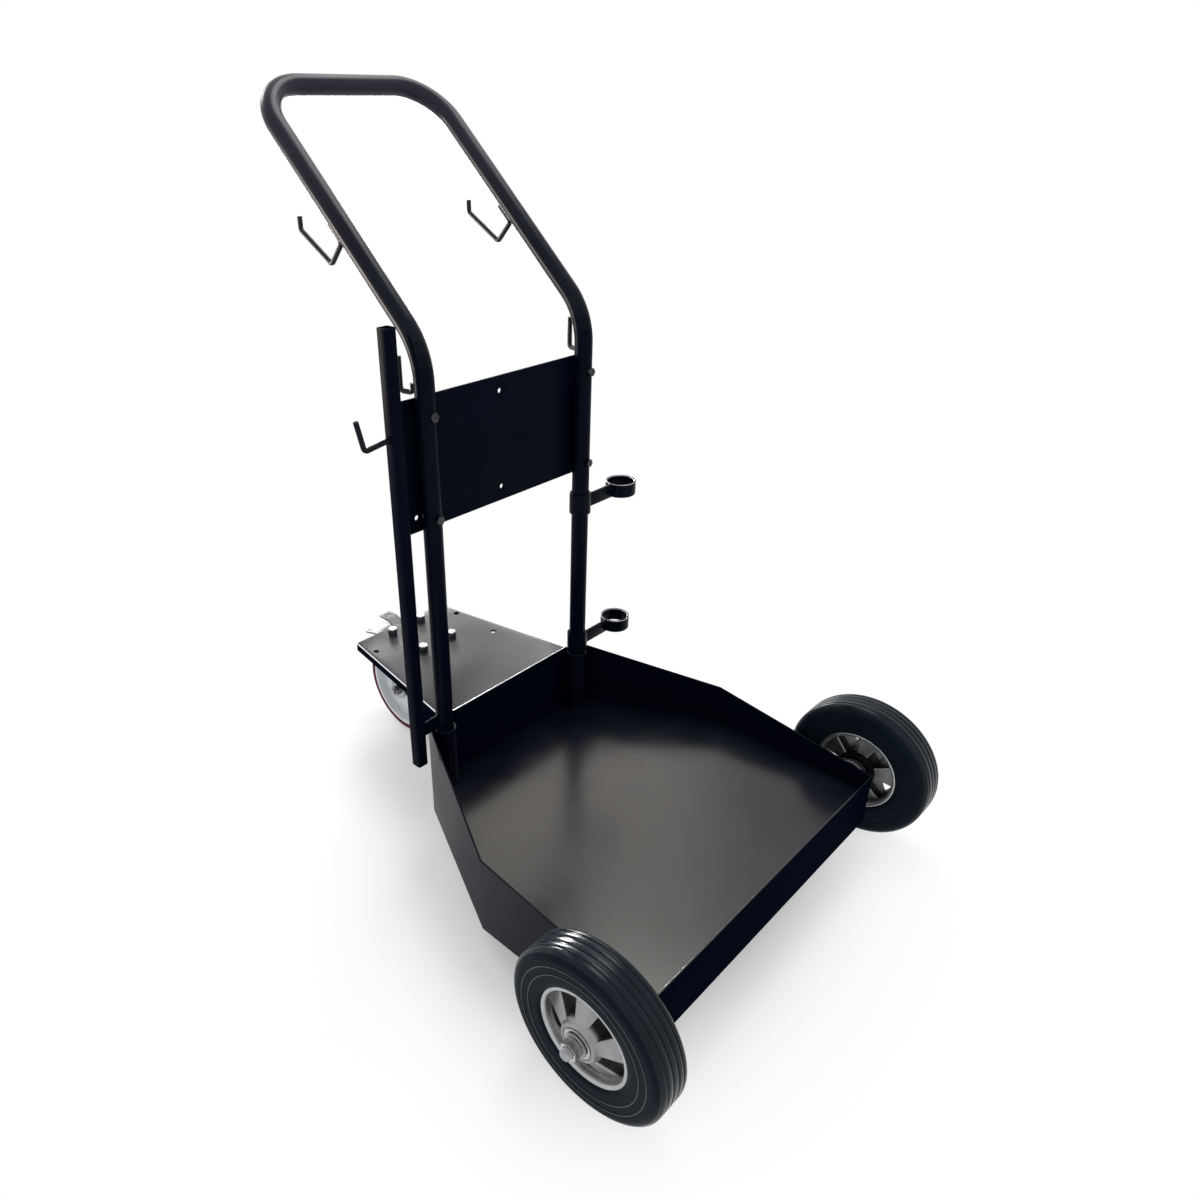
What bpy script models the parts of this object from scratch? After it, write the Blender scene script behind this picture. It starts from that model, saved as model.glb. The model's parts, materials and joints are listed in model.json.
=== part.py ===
"""Drum trolley: a folded steel tray on two spoked wheels and a braked caster.

A bent tube handle stands in the tray's rear corners and carries a back panel,
rod hooks, two ring holders and a square accessory post.
X runs to the right, Y to the rear and Z up, and the ground is at Z = 0.
"""

import math

import bmesh
import bpy
from mathutils import Matrix, Vector

# Fits and stock
GAP = 0.0003
SHEET = 0.003
PLATE = 0.004
ROD_RADIUS = 0.004
FOLD_RADIUS = 0.0045

# Front wheels, hub and axle
WHEEL_RADIUS = 0.125
TYRE_WIDTH = 0.060
SHOULDER_RADIUS = 0.113
TREAD_WIDTH = 0.044
GROOVE_PITCH = 0.0105
GROOVE_WIDTH = 0.002
GROOVE_DEPTH = 0.002
WHEEL_CLEARANCE = 0.021
RIM_RADIUS = 0.072
RIM_WIDTH = 0.054
RIM_LIP = 0.006
RIM_RIB_WIDTH = 0.012
RIM_RIB = 0.003
BARREL_RADIUS = 0.062
WEB_AT_BARREL = 0.030
WEB_OUTER_AT_HUB = 0.031
WEB_INNER_AT_HUB = 0.020
HUB_RADIUS = 0.030
HUB_END_RADIUS = 0.0285
HUB_OUTER = 0.036
HUB_INNER = 0.026
HUB_BORE_RADIUS = 0.015
SPOKES = 5
WINDOW_INNER_RADIUS = 0.0325
WINDOW_INNER_ANGLE = math.radians(32)
WINDOW_OUTER_RADIUS = 0.0605
WINDOW_OUTER_ANGLE = math.radians(31)
WINDOW_CORNER = 0.004
RIGHT_RIM_TURN = math.radians(9)
BEARING_RADIUS = 0.021
BEARING_WIDTH = 0.012
BEARING_PROUD = 0.001
AXLE_RADIUS = 0.010
AXLE_END_RADIUS = 0.008
AXLE_NUT_FLATS = 0.024
AXLE_NUT_HEIGHT = 0.013
AXLE_PROUD = 0.008
WASHER_RADIUS = 0.017
WASHER_THICKNESS = 0.003
SPACER_RADIUS = 0.014
AXLE_FLANGE_RADIUS = 0.032
AXLE_FLANGE = 0.008

# Tray
TRAY_WIDTH = 0.628
SOCKET_TO_CORNER = 0.019
TRAY_FRONT = -0.041
TRAY_KINK = 0.265
TRAY_REAR = 0.523
SKIRT_Z = 0.050
FLOOR_Z = 0.115
FRONT_Z = 0.149
KINK_Z = 0.190
REAR_Z = 0.240
FLOOR_BEAM = 0.040
FLOOR_BEAM_Y = 0.230

# Handle tube, sockets and collars
TUBE_RADIUS = 0.015
TUBE_WALL = 0.0022
UPRIGHT_SPACING = 0.340
COLLAR_RADIUS = 0.019
SOCKET_TOP = 0.236
BEND_Z = 0.869
LEG_ANGLE = math.radians(46.9)
LEG_LENGTH = 0.4805
LOWER_BEND = 0.110
CORNER_BEND = 0.080

# Back panel
PANEL_BELOW_BEND = 0.0685
PANEL_HEIGHT = 0.2035
PANEL_BOLT_INSET = 0.0235
PANEL_BOLT_RADIUS = 0.004
PANEL_BOLT_FLATS = 0.013
PANEL_BOLT_HEAD = 0.0053
PANEL_NUT_HEIGHT = 0.0065
SPARE_HOLE_RADIUS = 0.004
SPARE_HOLE_STEP = 0.017
SPARE_HOLE_MIDDLE = -0.008

# Accessory post
POST_SIZE = 0.020
POST_WALL = 0.002
POST_CORNER = 0.0035
POST_ASIDE = 0.055
POST_BOTTOM = 0.186
POST_ABOVE_BEND = 0.038
BRACKET_Z = 0.241
BRACKET_HEIGHT = 0.025
POST_HOOK_Z = 0.755
POST_HOOK_REACH = 0.042
POST_HOOK_DROP = 0.006
POST_HOOK_RISE = 0.044
POST_HOOK_LEAN = 0.010
POST_HOOK_BEND = 0.0065

# Rod hooks on the slanted legs, along the leg from the bend and away from it
HANDLE_HOOK_START = 0.206
HANDLE_HOOK_WELD = 0.034
HANDLE_HOOK_DROP = 0.043
HANDLE_HOOK_ARM = 0.0825
HANDLE_HOOK_SPREAD = math.radians(12.5)
HANDLE_HOOK_TIP = 0.019
HANDLE_HOOK_BEND = 0.0065

# Small rod hooks behind the uprights
CABLE_HOOK_TURN = math.radians(18)
CABLE_HOOK_BELOW_BEND = 0.061
CABLE_HOOK_RISE = 0.049
CABLE_HOOK_OUT = 0.005
CABLE_HOOK_BACK = 0.0215
CABLE_HOOK_BEND = 0.006

# Ring holders
COLLAR_HEIGHT = 0.038
RING_RADIUS = 0.028
RING_WALL = 0.004
RING_HEIGHT = 0.025
RING_BELOW_COLLAR = 0.009
RING_REACH = 0.114
ARM_THICKNESS = 0.005
UPPER_COLLAR_DROP = 0.0725
LOWER_COLLAR_Z = 0.240

# Rear plate
PLATE_FRONT_WIDTH = 0.320
PLATE_REAR_WIDTH = 0.224
PLATE_REAR = 0.828
FLANGE_DEPTH = 0.016
GUSSET_LENGTH = 0.122
GUSSET_DEPTH = 0.095
PLATE_SPARE_RADIUS = 0.006
PLATE_SPARE_X = 0.105
PLATE_SPARE_FRONT = 0.666
PLATE_SPARE_REAR = 0.775

# Swivel caster
CASTER_Y = 0.762
CASTER_TRAIL = 0.051
CASTER_RADIUS = 0.100
CASTER_WIDTH = 0.050
CASTER_TYRE = 0.006
CASTER_CROWN = 0.004
CORE_RIM = 0.010
CORE_WEB = 0.014
CORE_HUB_RADIUS = 0.022
CORE_HUB_WIDTH = 0.056
CASTER_BEARING_RADIUS = 0.0125
CASTER_AXLE_RADIUS = 0.006
CASTER_AXLE_FLATS = 0.019
CASTER_AXLE_HEAD = 0.008
CASTER_NUT_HEIGHT = 0.010
CASTER_AXLE_PROUD = 0.003
CASTER_BOLT_X = 0.073
CASTER_BOLT_Y = 0.095
CASTER_BOLT_RADIUS = 0.005
CASTER_BOLT_FLATS = 0.017
CASTER_BOLT_HEAD = 0.010
CASTER_BOLT_NUT = 0.008
CASTER_BOLT_PROUD = 0.0012
TOP_PLATE_X = 0.100
TOP_PLATE_Y = 0.122
TOP_PLATE = 0.006
TOP_PLATE_CORNER = 0.010
RACE_RADIUS = 0.034
RACE_HEIGHT = 0.010
KINGPIN_RADIUS = 0.009
KINGPIN_HEAD_RADIUS = 0.016
KINGPIN_HEAD = 0.005
FORK_SHEET = 0.005
FORK_SIDE_GAP = 0.001
FORK_CORNER = 0.009
FORK_FRONT = 0.034
FORK_CROWN_REAR = 0.030
FORK_LEG_REAR = 0.058
FORK_SHOULDER_Z = 0.196
FORK_WAIST = 0.016
FORK_WAIST_Z = 0.150
FORK_BOSS = 0.021

# Brake pedal
PEDAL_PIVOT_Y = 0.046
PEDAL_PIVOT_Z = 0.2085
PEDAL_PIN_RADIUS = 0.003
PEDAL_PIN_HEAD = 0.0045
PEDAL_PIN_HEAD_HEIGHT = 0.002
PEDAL_BARREL_RADIUS = 0.0058
PEDAL_SHEET = 0.004
PEDAL_NECK = 0.050
PEDAL_WIDTH = 0.070
PEDAL_NECK_END = 0.072
PEDAL_FLAT_END = 0.112
PEDAL_END = 0.150
PEDAL_Z = 0.2125
PEDAL_END_Z = 0.203
PEDAL_CORNER = 0.010
TAB_WIDTH = 0.027
TAB_START = 0.100
TAB_BEND = 0.122
TAB_END = 0.150
TAB_Z = 0.2222
TAB_SLOT_LENGTH = 0.017
TAB_SLOT_WIDTH = 0.003
TAB_SLOT_PITCH = 0.007

# Smoothness of round pieces
TYRE_STEPS = 40
TUBE_SIDES = 6
BORE_SIDES = 3
ROD_SIDES = 2
TUBE_BEND_STEPS = 6
ROD_BEND_STEPS = 3
RIM_STEPS = 30
CASTER_STEPS = 28
COLLAR_STEPS = 20
HUB_STEPS = 16
BOLT_STEPS = 12
SMOOTH_ANGLE = math.radians(35)

# Derived places
TRACK = TRAY_WIDTH + 2 * WHEEL_CLEARANCE + TYRE_WIDTH
AXLE_Z = WHEEL_RADIUS
REARMOST = CASTER_Y + CASTER_TRAIL + CASTER_RADIUS
AXLE_Y = (WHEEL_RADIUS - REARMOST) / 2
TRAY_INNER_X = TRAY_WIDTH / 2 - SHEET - GAP
UPRIGHT_X = UPRIGHT_SPACING / 2
TRAY_REAR_WIDTH = UPRIGHT_SPACING + 2 * SOCKET_TO_CORNER
UPRIGHT_Y = AXLE_Y + TRAY_REAR - SHEET - GAP - COLLAR_RADIUS
TUBE_BOTTOM = FLOOR_Z + GAP
BAR_Y = UPRIGHT_Y + LEG_LENGTH * math.sin(LEG_ANGLE)
BAR_Z = BEND_Z + LEG_LENGTH * math.cos(LEG_ANGLE)
BEND_START_Z = BEND_Z - LOWER_BEND * math.tan(LEG_ANGLE / 2)
PANEL_TOP = BEND_Z - PANEL_BELOW_BEND
PANEL_BOTTOM = PANEL_TOP - PANEL_HEIGHT
PANEL_FRONT_Y = UPRIGHT_Y + TUBE_RADIUS + GAP
PANEL_BACK_Y = PANEL_FRONT_Y + SHEET
POST_X = -UPRIGHT_X - POST_ASIDE
PANEL_LEFT = POST_X
PANEL_RIGHT = UPRIGHT_X + TUBE_RADIUS
PANEL_BOLT_ROWS = (PANEL_BOTTOM + PANEL_BOLT_INSET, PANEL_TOP - PANEL_BOLT_INSET)
POST_Y = PANEL_FRONT_Y - GAP - POST_SIZE / 2
POST_TOP = BEND_Z + POST_ABOVE_BEND
CABLE_HOOK_BOTTOM = BEND_Z - CABLE_HOOK_BELOW_BEND
CABLE_HOOK_TOP = CABLE_HOOK_BOTTOM + CABLE_HOOK_RISE
UPPER_COLLAR_Z = PANEL_BOTTOM - UPPER_COLLAR_DROP
PLATE_FRONT_Y = AXLE_Y + TRAY_REAR + GAP
PLATE_REAR_Y = AXLE_Y + PLATE_REAR
PLATE_BOTTOM_Z = REAR_Z - PLATE
SWIVEL_Y = AXLE_Y + CASTER_Y
TOP_PLATE_TOP_Z = PLATE_BOTTOM_Z - GAP
TOP_PLATE_BOTTOM_Z = TOP_PLATE_TOP_Z - TOP_PLATE
CROWN_TOP_Z = TOP_PLATE_BOTTOM_Z - RACE_HEIGHT - GAP
CROWN_BOTTOM_Z = CROWN_TOP_Z - FORK_SHEET
FORK_INNER_X = CORE_HUB_WIDTH / 2 + FORK_SIDE_GAP
FORK_OUTER_X = FORK_INNER_X + FORK_SHEET
CASTER_CORE_RADIUS = CASTER_RADIUS - CASTER_TYRE
OUTER_FACE_X = HUB_OUTER + BEARING_PROUD
INNER_FACE_X = HUB_INNER + BEARING_PROUD
WASHER_X = TRACK / 2 + OUTER_FACE_X + GAP
NUT_X = WASHER_X + WASHER_THICKNESS + GAP
AXLE_END_X = NUT_X + AXLE_NUT_HEIGHT + AXLE_PROUD

UPWARD = Matrix.Identity(4)
ALONG_X = Matrix.Rotation(math.pi / 2, 4, "Y")
FACING_Y = Matrix.Rotation(math.pi / 2, 4, "X")
SIDE_VIEW = Matrix(((0, 0, 1, 0), (1, 0, 0, 0), (0, 1, 0, 0), (0, 0, 0, 1)))


def clear_scene():
    for item in list(bpy.data.objects):
        bpy.data.objects.remove(item, do_unlink=True)


def new_collection(name):
    collection = bpy.data.collections.new(name)
    bpy.context.scene.collection.children.link(collection)
    return collection


def finish(name, colour, roughness, metallic):
    material = bpy.data.materials.new(name)
    material.use_nodes = True
    shader = material.node_tree.nodes["Principled BSDF"]
    shader.inputs["Base Color"].default_value = (*colour, 1.0)
    shader.inputs["Roughness"].default_value = roughness
    shader.inputs["Metallic"].default_value = metallic
    return material


clear_scene()
PARTS = new_collection("drum_trolley")
CUTTERS = new_collection("drum_trolley_cutters")

BLACK = finish("black_powder_coat", (0.012, 0.013, 0.017), 0.38, 0.0)
ZINC = finish("zinc_plate", (0.62, 0.63, 0.64), 0.30, 1.0)
STEEL = finish("turned_steel", (0.50, 0.50, 0.51), 0.28, 1.0)
CAST = finish("cast_aluminium", (0.56, 0.57, 0.59), 0.42, 0.9)
RUBBER = finish("black_rubber", (0.020, 0.022, 0.027), 0.70, 0.0)
RED = finish("red_polyurethane", (0.16, 0.012, 0.025), 0.45, 0.0)
PALE = finish("pale_grey_core", (0.55, 0.54, 0.60), 0.50, 0.2)


def place(name, mesh, material, location=(0, 0, 0), parent=None):
    """A sub-part of the trolley, placed from its own origin."""
    item = bpy.data.objects.new(name, mesh)
    if not mesh.materials:
        mesh.materials.append(material)
    item.location = location
    item.parent = parent
    PARTS.objects.link(item)
    return item


def axis_at(name, location, parent=None):
    """An empty on a joint's axis, which the moving pieces hang from."""
    item = bpy.data.objects.new(name, None)
    item.location = location
    item.parent = parent
    item.empty_display_size = 0.02
    PARTS.objects.link(item)
    return item


def cutter(name, mesh, location=(0, 0, 0)):
    item = bpy.data.objects.new(name, mesh)
    item.location = location
    item.hide_render = True
    item.display_type = "WIRE"
    CUTTERS.objects.link(item)
    return item


def combine(item, other, operation):
    modifier = item.modifiers.new(operation.lower(), "BOOLEAN")
    modifier.operation = operation
    modifier.solver = "EXACT"
    modifier.object = other


def evaluated_mesh(item):
    """The finished mesh of an object that isn't kept."""
    bpy.context.view_layer.update()
    graph = bpy.context.evaluated_depsgraph_get()
    mesh = bpy.data.meshes.new_from_object(item.evaluated_get(graph))
    bpy.data.objects.remove(item, do_unlink=True)
    return mesh


def smooth(mesh):
    mesh.shade_smooth()
    mesh.set_sharp_from_angle(angle=SMOOTH_ANGLE)
    return mesh


def welded(mesh, turn=UPWARD):
    """Closes the loose caps of a converted curve and turns it to its plane."""
    work = bmesh.new()
    work.from_mesh(mesh)
    bmesh.ops.remove_doubles(work, verts=work.verts, dist=1e-6)
    bmesh.ops.recalc_face_normals(work, faces=work.faces)
    work.to_mesh(mesh)
    work.free()
    mesh.transform(turn)
    return mesh


def turned(name, profile, steps, turn=UPWARD):
    """A turned piece: a closed section of (radius, height) points swept around Z."""
    mesh = bpy.data.meshes.new(name)
    work = bmesh.new()
    points = [work.verts.new((radius, 0, height)) for radius, height in profile]
    for index, point in enumerate(points):
        work.edges.new((point, points[(index + 1) % len(points)]))
    work.to_mesh(mesh)
    work.free()
    item = bpy.data.objects.new(name, mesh)
    CUTTERS.objects.link(item)
    screw = item.modifiers.new("turn", "SCREW")
    screw.steps = steps
    screw.render_steps = steps
    screw.use_merge_vertices = True
    screw.merge_threshold = 1e-5
    return welded(smooth(evaluated_mesh(item)), turn)


def ring_section(outer, inner, low, high):
    return [(outer, high), (outer, low), (inner, low), (inner, high)]


def sheet_shape(name, loops, thickness, turn=UPWARD):
    """A flat outline with its holes, centred on its own plane."""
    curve = bpy.data.curves.new(name, "CURVE")
    curve.dimensions = "2D"
    curve.fill_mode = "BOTH"
    curve.extrude = thickness / 2
    for loop in loops:
        spline = curve.splines.new("POLY")
        spline.points.add(len(loop) - 1)
        spline.use_cyclic_u = True
        for point, (across, along) in zip(spline.points, loop):
            point.co = (across, along, 0, 1)
    item = bpy.data.objects.new(name, curve)
    CUTTERS.objects.link(item)
    return welded(evaluated_mesh(item), turn)


def rod_shape(name, points, radius, resolution):
    """A round rod or bar along a path of points, with flat ends."""
    curve = bpy.data.curves.new(name, "CURVE")
    curve.dimensions = "3D"
    curve.bevel_depth = radius
    curve.bevel_resolution = resolution
    curve.use_fill_caps = True
    spline = curve.splines.new("POLY")
    spline.points.add(len(points) - 1)
    for point, place_at in zip(spline.points, points):
        point.co = (*place_at, 1)
    item = bpy.data.objects.new(name, curve)
    CUTTERS.objects.link(item)
    return smooth(welded(evaluated_mesh(item)))


def circle(across, along, radius, steps=BOLT_STEPS):
    return [
        (
            across + radius * math.cos(2 * math.pi * step / steps),
            along + radius * math.sin(2 * math.pi * step / steps),
        )
        for step in range(steps)
    ]


def hexagon(flats):
    return circle(0, 0, flats / math.sqrt(3), 6)


def rectangle(left, right, low, high):
    return [(left, low), (right, low), (right, high), (left, high)]


def bent(points, radii, steps, closed=False):
    """A path whose corners are rounded to the given radii."""
    points = [Vector(point) for point in points]
    path = []
    for index, point in enumerate(points):
        radius = radii[index]
        inner = closed or 0 < index < len(points) - 1
        if not inner or not radius:
            path.append(point)
            continue
        before = (points[index - 1] - point).normalized()
        after = (points[(index + 1) % len(points)] - point).normalized()
        half = before.angle(after) / 2
        middle = point + (before + after).normalized() * radius / math.sin(half)
        start = point + before * radius / math.tan(half) - middle
        end = point + after * radius / math.tan(half) - middle
        turn = start.angle(end)
        for step in range(steps + 1):
            share = step / steps
            along_start = math.sin(turn * (1 - share)) / math.sin(turn)
            along_end = math.sin(turn * share) / math.sin(turn)
            path.append(middle + start * along_start + end * along_end)
    return path


def rounded(points, radius, steps=3):
    """A flat outline with all its corners rounded alike."""
    path = bent([(*point, 0) for point in points], [radius] * len(points), steps, True)
    return [(point.x, point.y) for point in path]


def merged(name, mesh, others, operation="UNION"):
    """One solid mesh from the first and what is joined to it or cut from it."""
    item = bpy.data.objects.new(name, mesh)
    CUTTERS.objects.link(item)
    tools = [cutter(name + "_tool", other) for other in others]
    for tool in tools:
        combine(item, tool, operation)
    result = evaluated_mesh(item)
    for tool in tools:
        bpy.data.objects.remove(tool, do_unlink=True)
    return result


def bolt_mesh(name, flats, head, radius, length):
    """A hexagon head above Z = 0 and a round shank below it."""
    cap = sheet_shape(name, [hexagon(flats)], head)
    cap.transform(Matrix.Translation((0, 0, head / 2)))
    shank = sheet_shape(name + "_shank", [circle(0, 0, radius)], length + head / 2)
    shank.transform(Matrix.Translation((0, 0, (head / 2 - length) / 2)))
    return merged(name, cap, [shank])


def nut_mesh(name, flats, height, bore):
    """A hexagon nut standing on Z = 0."""
    mesh = sheet_shape(name, [hexagon(flats), circle(0, 0, bore)], height)
    mesh.transform(Matrix.Translation((0, 0, height / 2)))
    return mesh


def solidify(item, thickness):
    shell = item.modifiers.new("sheet", "SOLIDIFY")
    shell.thickness = thickness
    shell.offset = -1
    shell.use_even_offset = True


def round_fold(item):
    fold = item.modifiers.new("fold", "BEVEL")
    fold.width = FOLD_RADIUS
    fold.segments = 3
    fold.limit_method = "ANGLE"


def tray_outline(inset):
    """The tray's plan from front left round to front right, moved inwards."""
    half = TRAY_WIDTH / 2
    rear = TRAY_REAR_WIDTH / 2
    corners = [(-half, TRAY_FRONT), (-half, TRAY_KINK), (-rear, TRAY_REAR)]
    corners += [(-across, along) for across, along in reversed(corners)]
    corners = [Vector((across, along + AXLE_Y)) for across, along in corners]
    moved = []
    for index, corner in enumerate(corners):
        before = (corner - corners[index - 1]).normalized()
        after = (corners[(index + 1) % len(corners)] - corner).normalized()
        first = Vector((before.y, -before.x))
        second = Vector((after.y, -after.x))
        moved.append(corner + (first + second) * inset / (1 + first.dot(second)))
    return moved


def hole_tools(name, places, radius, length, turn=UPWARD):
    """Round cutters for a row of holes, in one mesh."""
    mesh = bpy.data.meshes.new(name)
    work = bmesh.new()
    for centre in places:
        bmesh.ops.create_cone(
            work,
            cap_ends=True,
            segments=BOLT_STEPS,
            radius1=radius,
            radius2=radius,
            depth=length,
            matrix=Matrix.Translation(centre) @ turn,
        )
    work.to_mesh(mesh)
    work.free()
    return mesh


def build_tray():
    mesh = bpy.data.meshes.new("tray_wall")
    work = bmesh.new()
    plan = tray_outline(0)
    heights = (FRONT_Z, KINK_Z, REAR_Z, REAR_Z, KINK_Z, FRONT_Z)
    low = [work.verts.new((*corner, SKIRT_Z)) for corner in plan]
    high = [work.verts.new((*corner, top)) for corner, top in zip(plan, heights)]
    for index in range(len(plan)):
        work.faces.new((low[index], low[index - 1], high[index - 1], high[index]))
    work.to_mesh(mesh)
    work.free()
    wall = place("tray_wall", mesh, BLACK)
    solidify(wall, SHEET)

    edge = [(corner.x, corner.y) for corner in tray_outline(SHEET + GAP)]
    floor = sheet_shape("tray_floor", [edge], SHEET)
    place("tray_floor", floor, BLACK, (0, 0, FLOOR_Z - SHEET / 2))

    half = FLOOR_BEAM / 2
    bore = half - SHEET
    loops = [rectangle(-half, half, -half, half), rectangle(-bore, bore, -bore, bore)]
    beam = sheet_shape("floor_beam", loops, 2 * TRAY_INNER_X, SIDE_VIEW)
    beam_z = FLOOR_Z - SHEET - GAP - half
    place("floor_beam", beam, BLACK, (0, AXLE_Y + FLOOR_BEAM_Y, beam_z))


def build_rear_plate():
    mesh = bpy.data.meshes.new("rear_plate")
    work = bmesh.new()
    front = PLATE_FRONT_WIDTH / 2
    rear = PLATE_REAR_WIDTH / 2
    taper = (rear - front) / (PLATE_REAR_Y - PLATE_FRONT_Y)
    front_y = PLATE_FRONT_Y - PLATE
    gusset_y = PLATE_FRONT_Y + GUSSET_LENGTH
    left = [
        (-front + taper * PLATE, front_y),
        (-front - taper * GUSSET_LENGTH, gusset_y),
        (-rear, PLATE_REAR_Y),
    ]
    plan = left + [(-across, along) for across, along in reversed(left)]
    top = [work.verts.new((*point, REAR_Z)) for point in plan]
    work.faces.new(reversed(top))
    depths = (GUSSET_DEPTH, FLANGE_DEPTH, FLANGE_DEPTH)
    for side in (top[:3], top[:2:-1]):
        low = [work.verts.new((*point.co.xy, REAR_Z - depth)) for point, depth in zip(side, depths)]
        work.faces.new((side[0], side[1], low[1], low[0]))
        work.faces.new((side[1], side[2], low[2], low[1]))
    bmesh.ops.recalc_face_normals(work, faces=work.faces)
    work.faces.ensure_lookup_table()
    if work.faces[0].normal.z < 0:
        bmesh.ops.reverse_faces(work, faces=work.faces)
    work.to_mesh(mesh)
    work.free()
    plate = place("rear_plate", mesh, BLACK)
    round_fold(plate)
    solidify(plate, PLATE)
    edge = rectangle(-TRAY_WIDTH / 2, TRAY_WIDTH / 2, PLATE_FRONT_Y - 4 * PLATE, PLATE_FRONT_Y)
    trim = sheet_shape("plate_front_trim", [edge], 4 * GUSSET_DEPTH)
    combine(plate, cutter("plate_front_trim", trim, (0, 0, REAR_Z)), "DIFFERENCE")
    spare = [
        (side * PLATE_SPARE_X, AXLE_Y + along, REAR_Z)
        for side in (-1, 1)
        for along in (PLATE_SPARE_FRONT, PLATE_SPARE_REAR)
    ]
    bolts = [(across, along, REAR_Z) for across, along in caster_bolt_places()]
    holes = hole_tools("plate_spare_holes", spare, PLATE_SPARE_RADIUS, 3 * PLATE)
    combine(plate, cutter("plate_spare_holes", holes), "DIFFERENCE")
    holes = hole_tools("plate_bolt_holes", bolts, CASTER_BOLT_RADIUS + GAP, 3 * PLATE)
    combine(plate, cutter("plate_bolt_holes", holes), "DIFFERENCE")


def caster_bolt_places():
    return [
        (across * CASTER_BOLT_X / 2, SWIVEL_Y + along * CASTER_BOLT_Y / 2)
        for across in (-1, 1)
        for along in (-1, 1)
    ]


def handle_path(extra):
    """The tube's centre line from the left foot to the right foot."""
    left = [
        (-UPRIGHT_X, UPRIGHT_Y, TUBE_BOTTOM - extra),
        (-UPRIGHT_X, UPRIGHT_Y, BEND_Z),
        (-UPRIGHT_X, BAR_Y, BAR_Z),
    ]
    right = [(-across, along, height) for across, along, height in reversed(left)]
    bends = [0, LOWER_BEND, CORNER_BEND, CORNER_BEND, LOWER_BEND, 0]
    return bent(left + right, bends, TUBE_BEND_STEPS)


def build_handle():
    shape = rod_shape("handle_tube", handle_path(0), TUBE_RADIUS, TUBE_SIDES)
    tube = place("handle_tube", shape, BLACK)
    bore_radius = TUBE_RADIUS - TUBE_WALL
    bore = rod_shape("handle_bore", handle_path(TUBE_WALL), bore_radius, BORE_SIDES)
    combine(tube, cutter("handle_bore", bore), "DIFFERENCE")
    places = [
        (side * UPRIGHT_X, UPRIGHT_Y, row) for side in (-1, 1) for row in PANEL_BOLT_ROWS
    ]
    holes = hole_tools(
        "upright_holes", places, PANEL_BOLT_RADIUS + GAP, 3 * TUBE_RADIUS, FACING_Y
    )
    combine(tube, cutter("upright_holes", holes), "DIFFERENCE")

    section = ring_section(COLLAR_RADIUS, TUBE_RADIUS + GAP, FLOOR_Z + GAP, SOCKET_TOP)
    socket = turned("upright_socket", section, COLLAR_STEPS)
    for side, label in ((-1, "left"), (1, "right")):
        place("upright_socket_" + label, socket, BLACK, (side * UPRIGHT_X, UPRIGHT_Y, 0))


def build_panel():
    holes = [
        circle(side * UPRIGHT_X, row, PANEL_BOLT_RADIUS + GAP)
        for side in (-1, 1)
        for row in PANEL_BOLT_ROWS
    ]
    spare = [(SPARE_HOLE_MIDDLE, row) for row in PANEL_BOLT_ROWS]
    spare.append((-UPRIGHT_X - SPARE_HOLE_STEP, PANEL_BOLT_ROWS[0]))
    holes += [circle(column, row, SPARE_HOLE_RADIUS) for column, row in spare]
    edge = rectangle(PANEL_LEFT, PANEL_RIGHT, PANEL_BOTTOM, PANEL_TOP)
    panel = sheet_shape("back_panel", [edge] + holes, SHEET, FACING_Y)
    place("back_panel", panel, BLACK, (0, PANEL_FRONT_Y + SHEET / 2, 0))

    head_y = UPRIGHT_Y - TUBE_RADIUS - GAP
    nut_y = PANEL_BACK_Y + GAP
    length = nut_y + PANEL_NUT_HEIGHT + PANEL_BOLT_RADIUS / 2 - head_y
    bolt = bolt_mesh("panel_bolt", PANEL_BOLT_FLATS, PANEL_BOLT_HEAD, PANEL_BOLT_RADIUS, length)
    bolt.transform(FACING_Y)
    nut = nut_mesh("panel_nut", PANEL_BOLT_FLATS, PANEL_NUT_HEIGHT, PANEL_BOLT_RADIUS + GAP)
    nut.transform(FACING_Y.inverted())
    for side, label in ((-1, "left"), (1, "right")):
        for row, level in zip(PANEL_BOLT_ROWS, ("lower", "upper")):
            tail = "_" + label + "_" + level
            place("panel_bolt" + tail, bolt, BLACK, (side * UPRIGHT_X, head_y, row))
            place("panel_nut" + tail, nut, BLACK, (side * UPRIGHT_X, nut_y, row))


def build_post():
    half = POST_SIZE / 2
    bore = half - POST_WALL
    loops = [
        rounded(rectangle(-half, half, -half, half), POST_CORNER),
        rounded(rectangle(-bore, bore, -bore, bore), POST_CORNER - POST_WALL),
    ]
    post = smooth(sheet_shape("accessory_post", loops, POST_TOP - POST_BOTTOM))
    place("accessory_post", post, BLACK, (POST_X, POST_Y, (POST_TOP + POST_BOTTOM) / 2))

    left = POST_X + half + GAP
    right = -UPRIGHT_X - TUBE_RADIUS - GAP
    edge = rectangle(left, right, BRACKET_Z, BRACKET_Z + BRACKET_HEIGHT)
    bracket = sheet_shape("post_bracket", [edge], PLATE, FACING_Y)
    place("post_bracket", bracket, BLACK, (0, UPRIGHT_Y, 0))

    tilt = math.atan2(POST_HOOK_DROP, POST_HOOK_REACH)
    reach = -half - GAP - ROD_RADIUS * math.sin(tilt)
    points = [
        (reach, 0, 0),
        (reach - POST_HOOK_REACH, 0, -POST_HOOK_DROP),
        (reach - POST_HOOK_REACH - POST_HOOK_LEAN, 0, POST_HOOK_RISE - POST_HOOK_DROP),
    ]
    path = bent(points, [0, POST_HOOK_BEND, 0], ROD_BEND_STEPS)
    hook = rod_shape("post_hook", path, ROD_RADIUS, ROD_SIDES)
    place("post_hook", hook, BLACK, (POST_X, POST_Y, POST_HOOK_Z))


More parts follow.
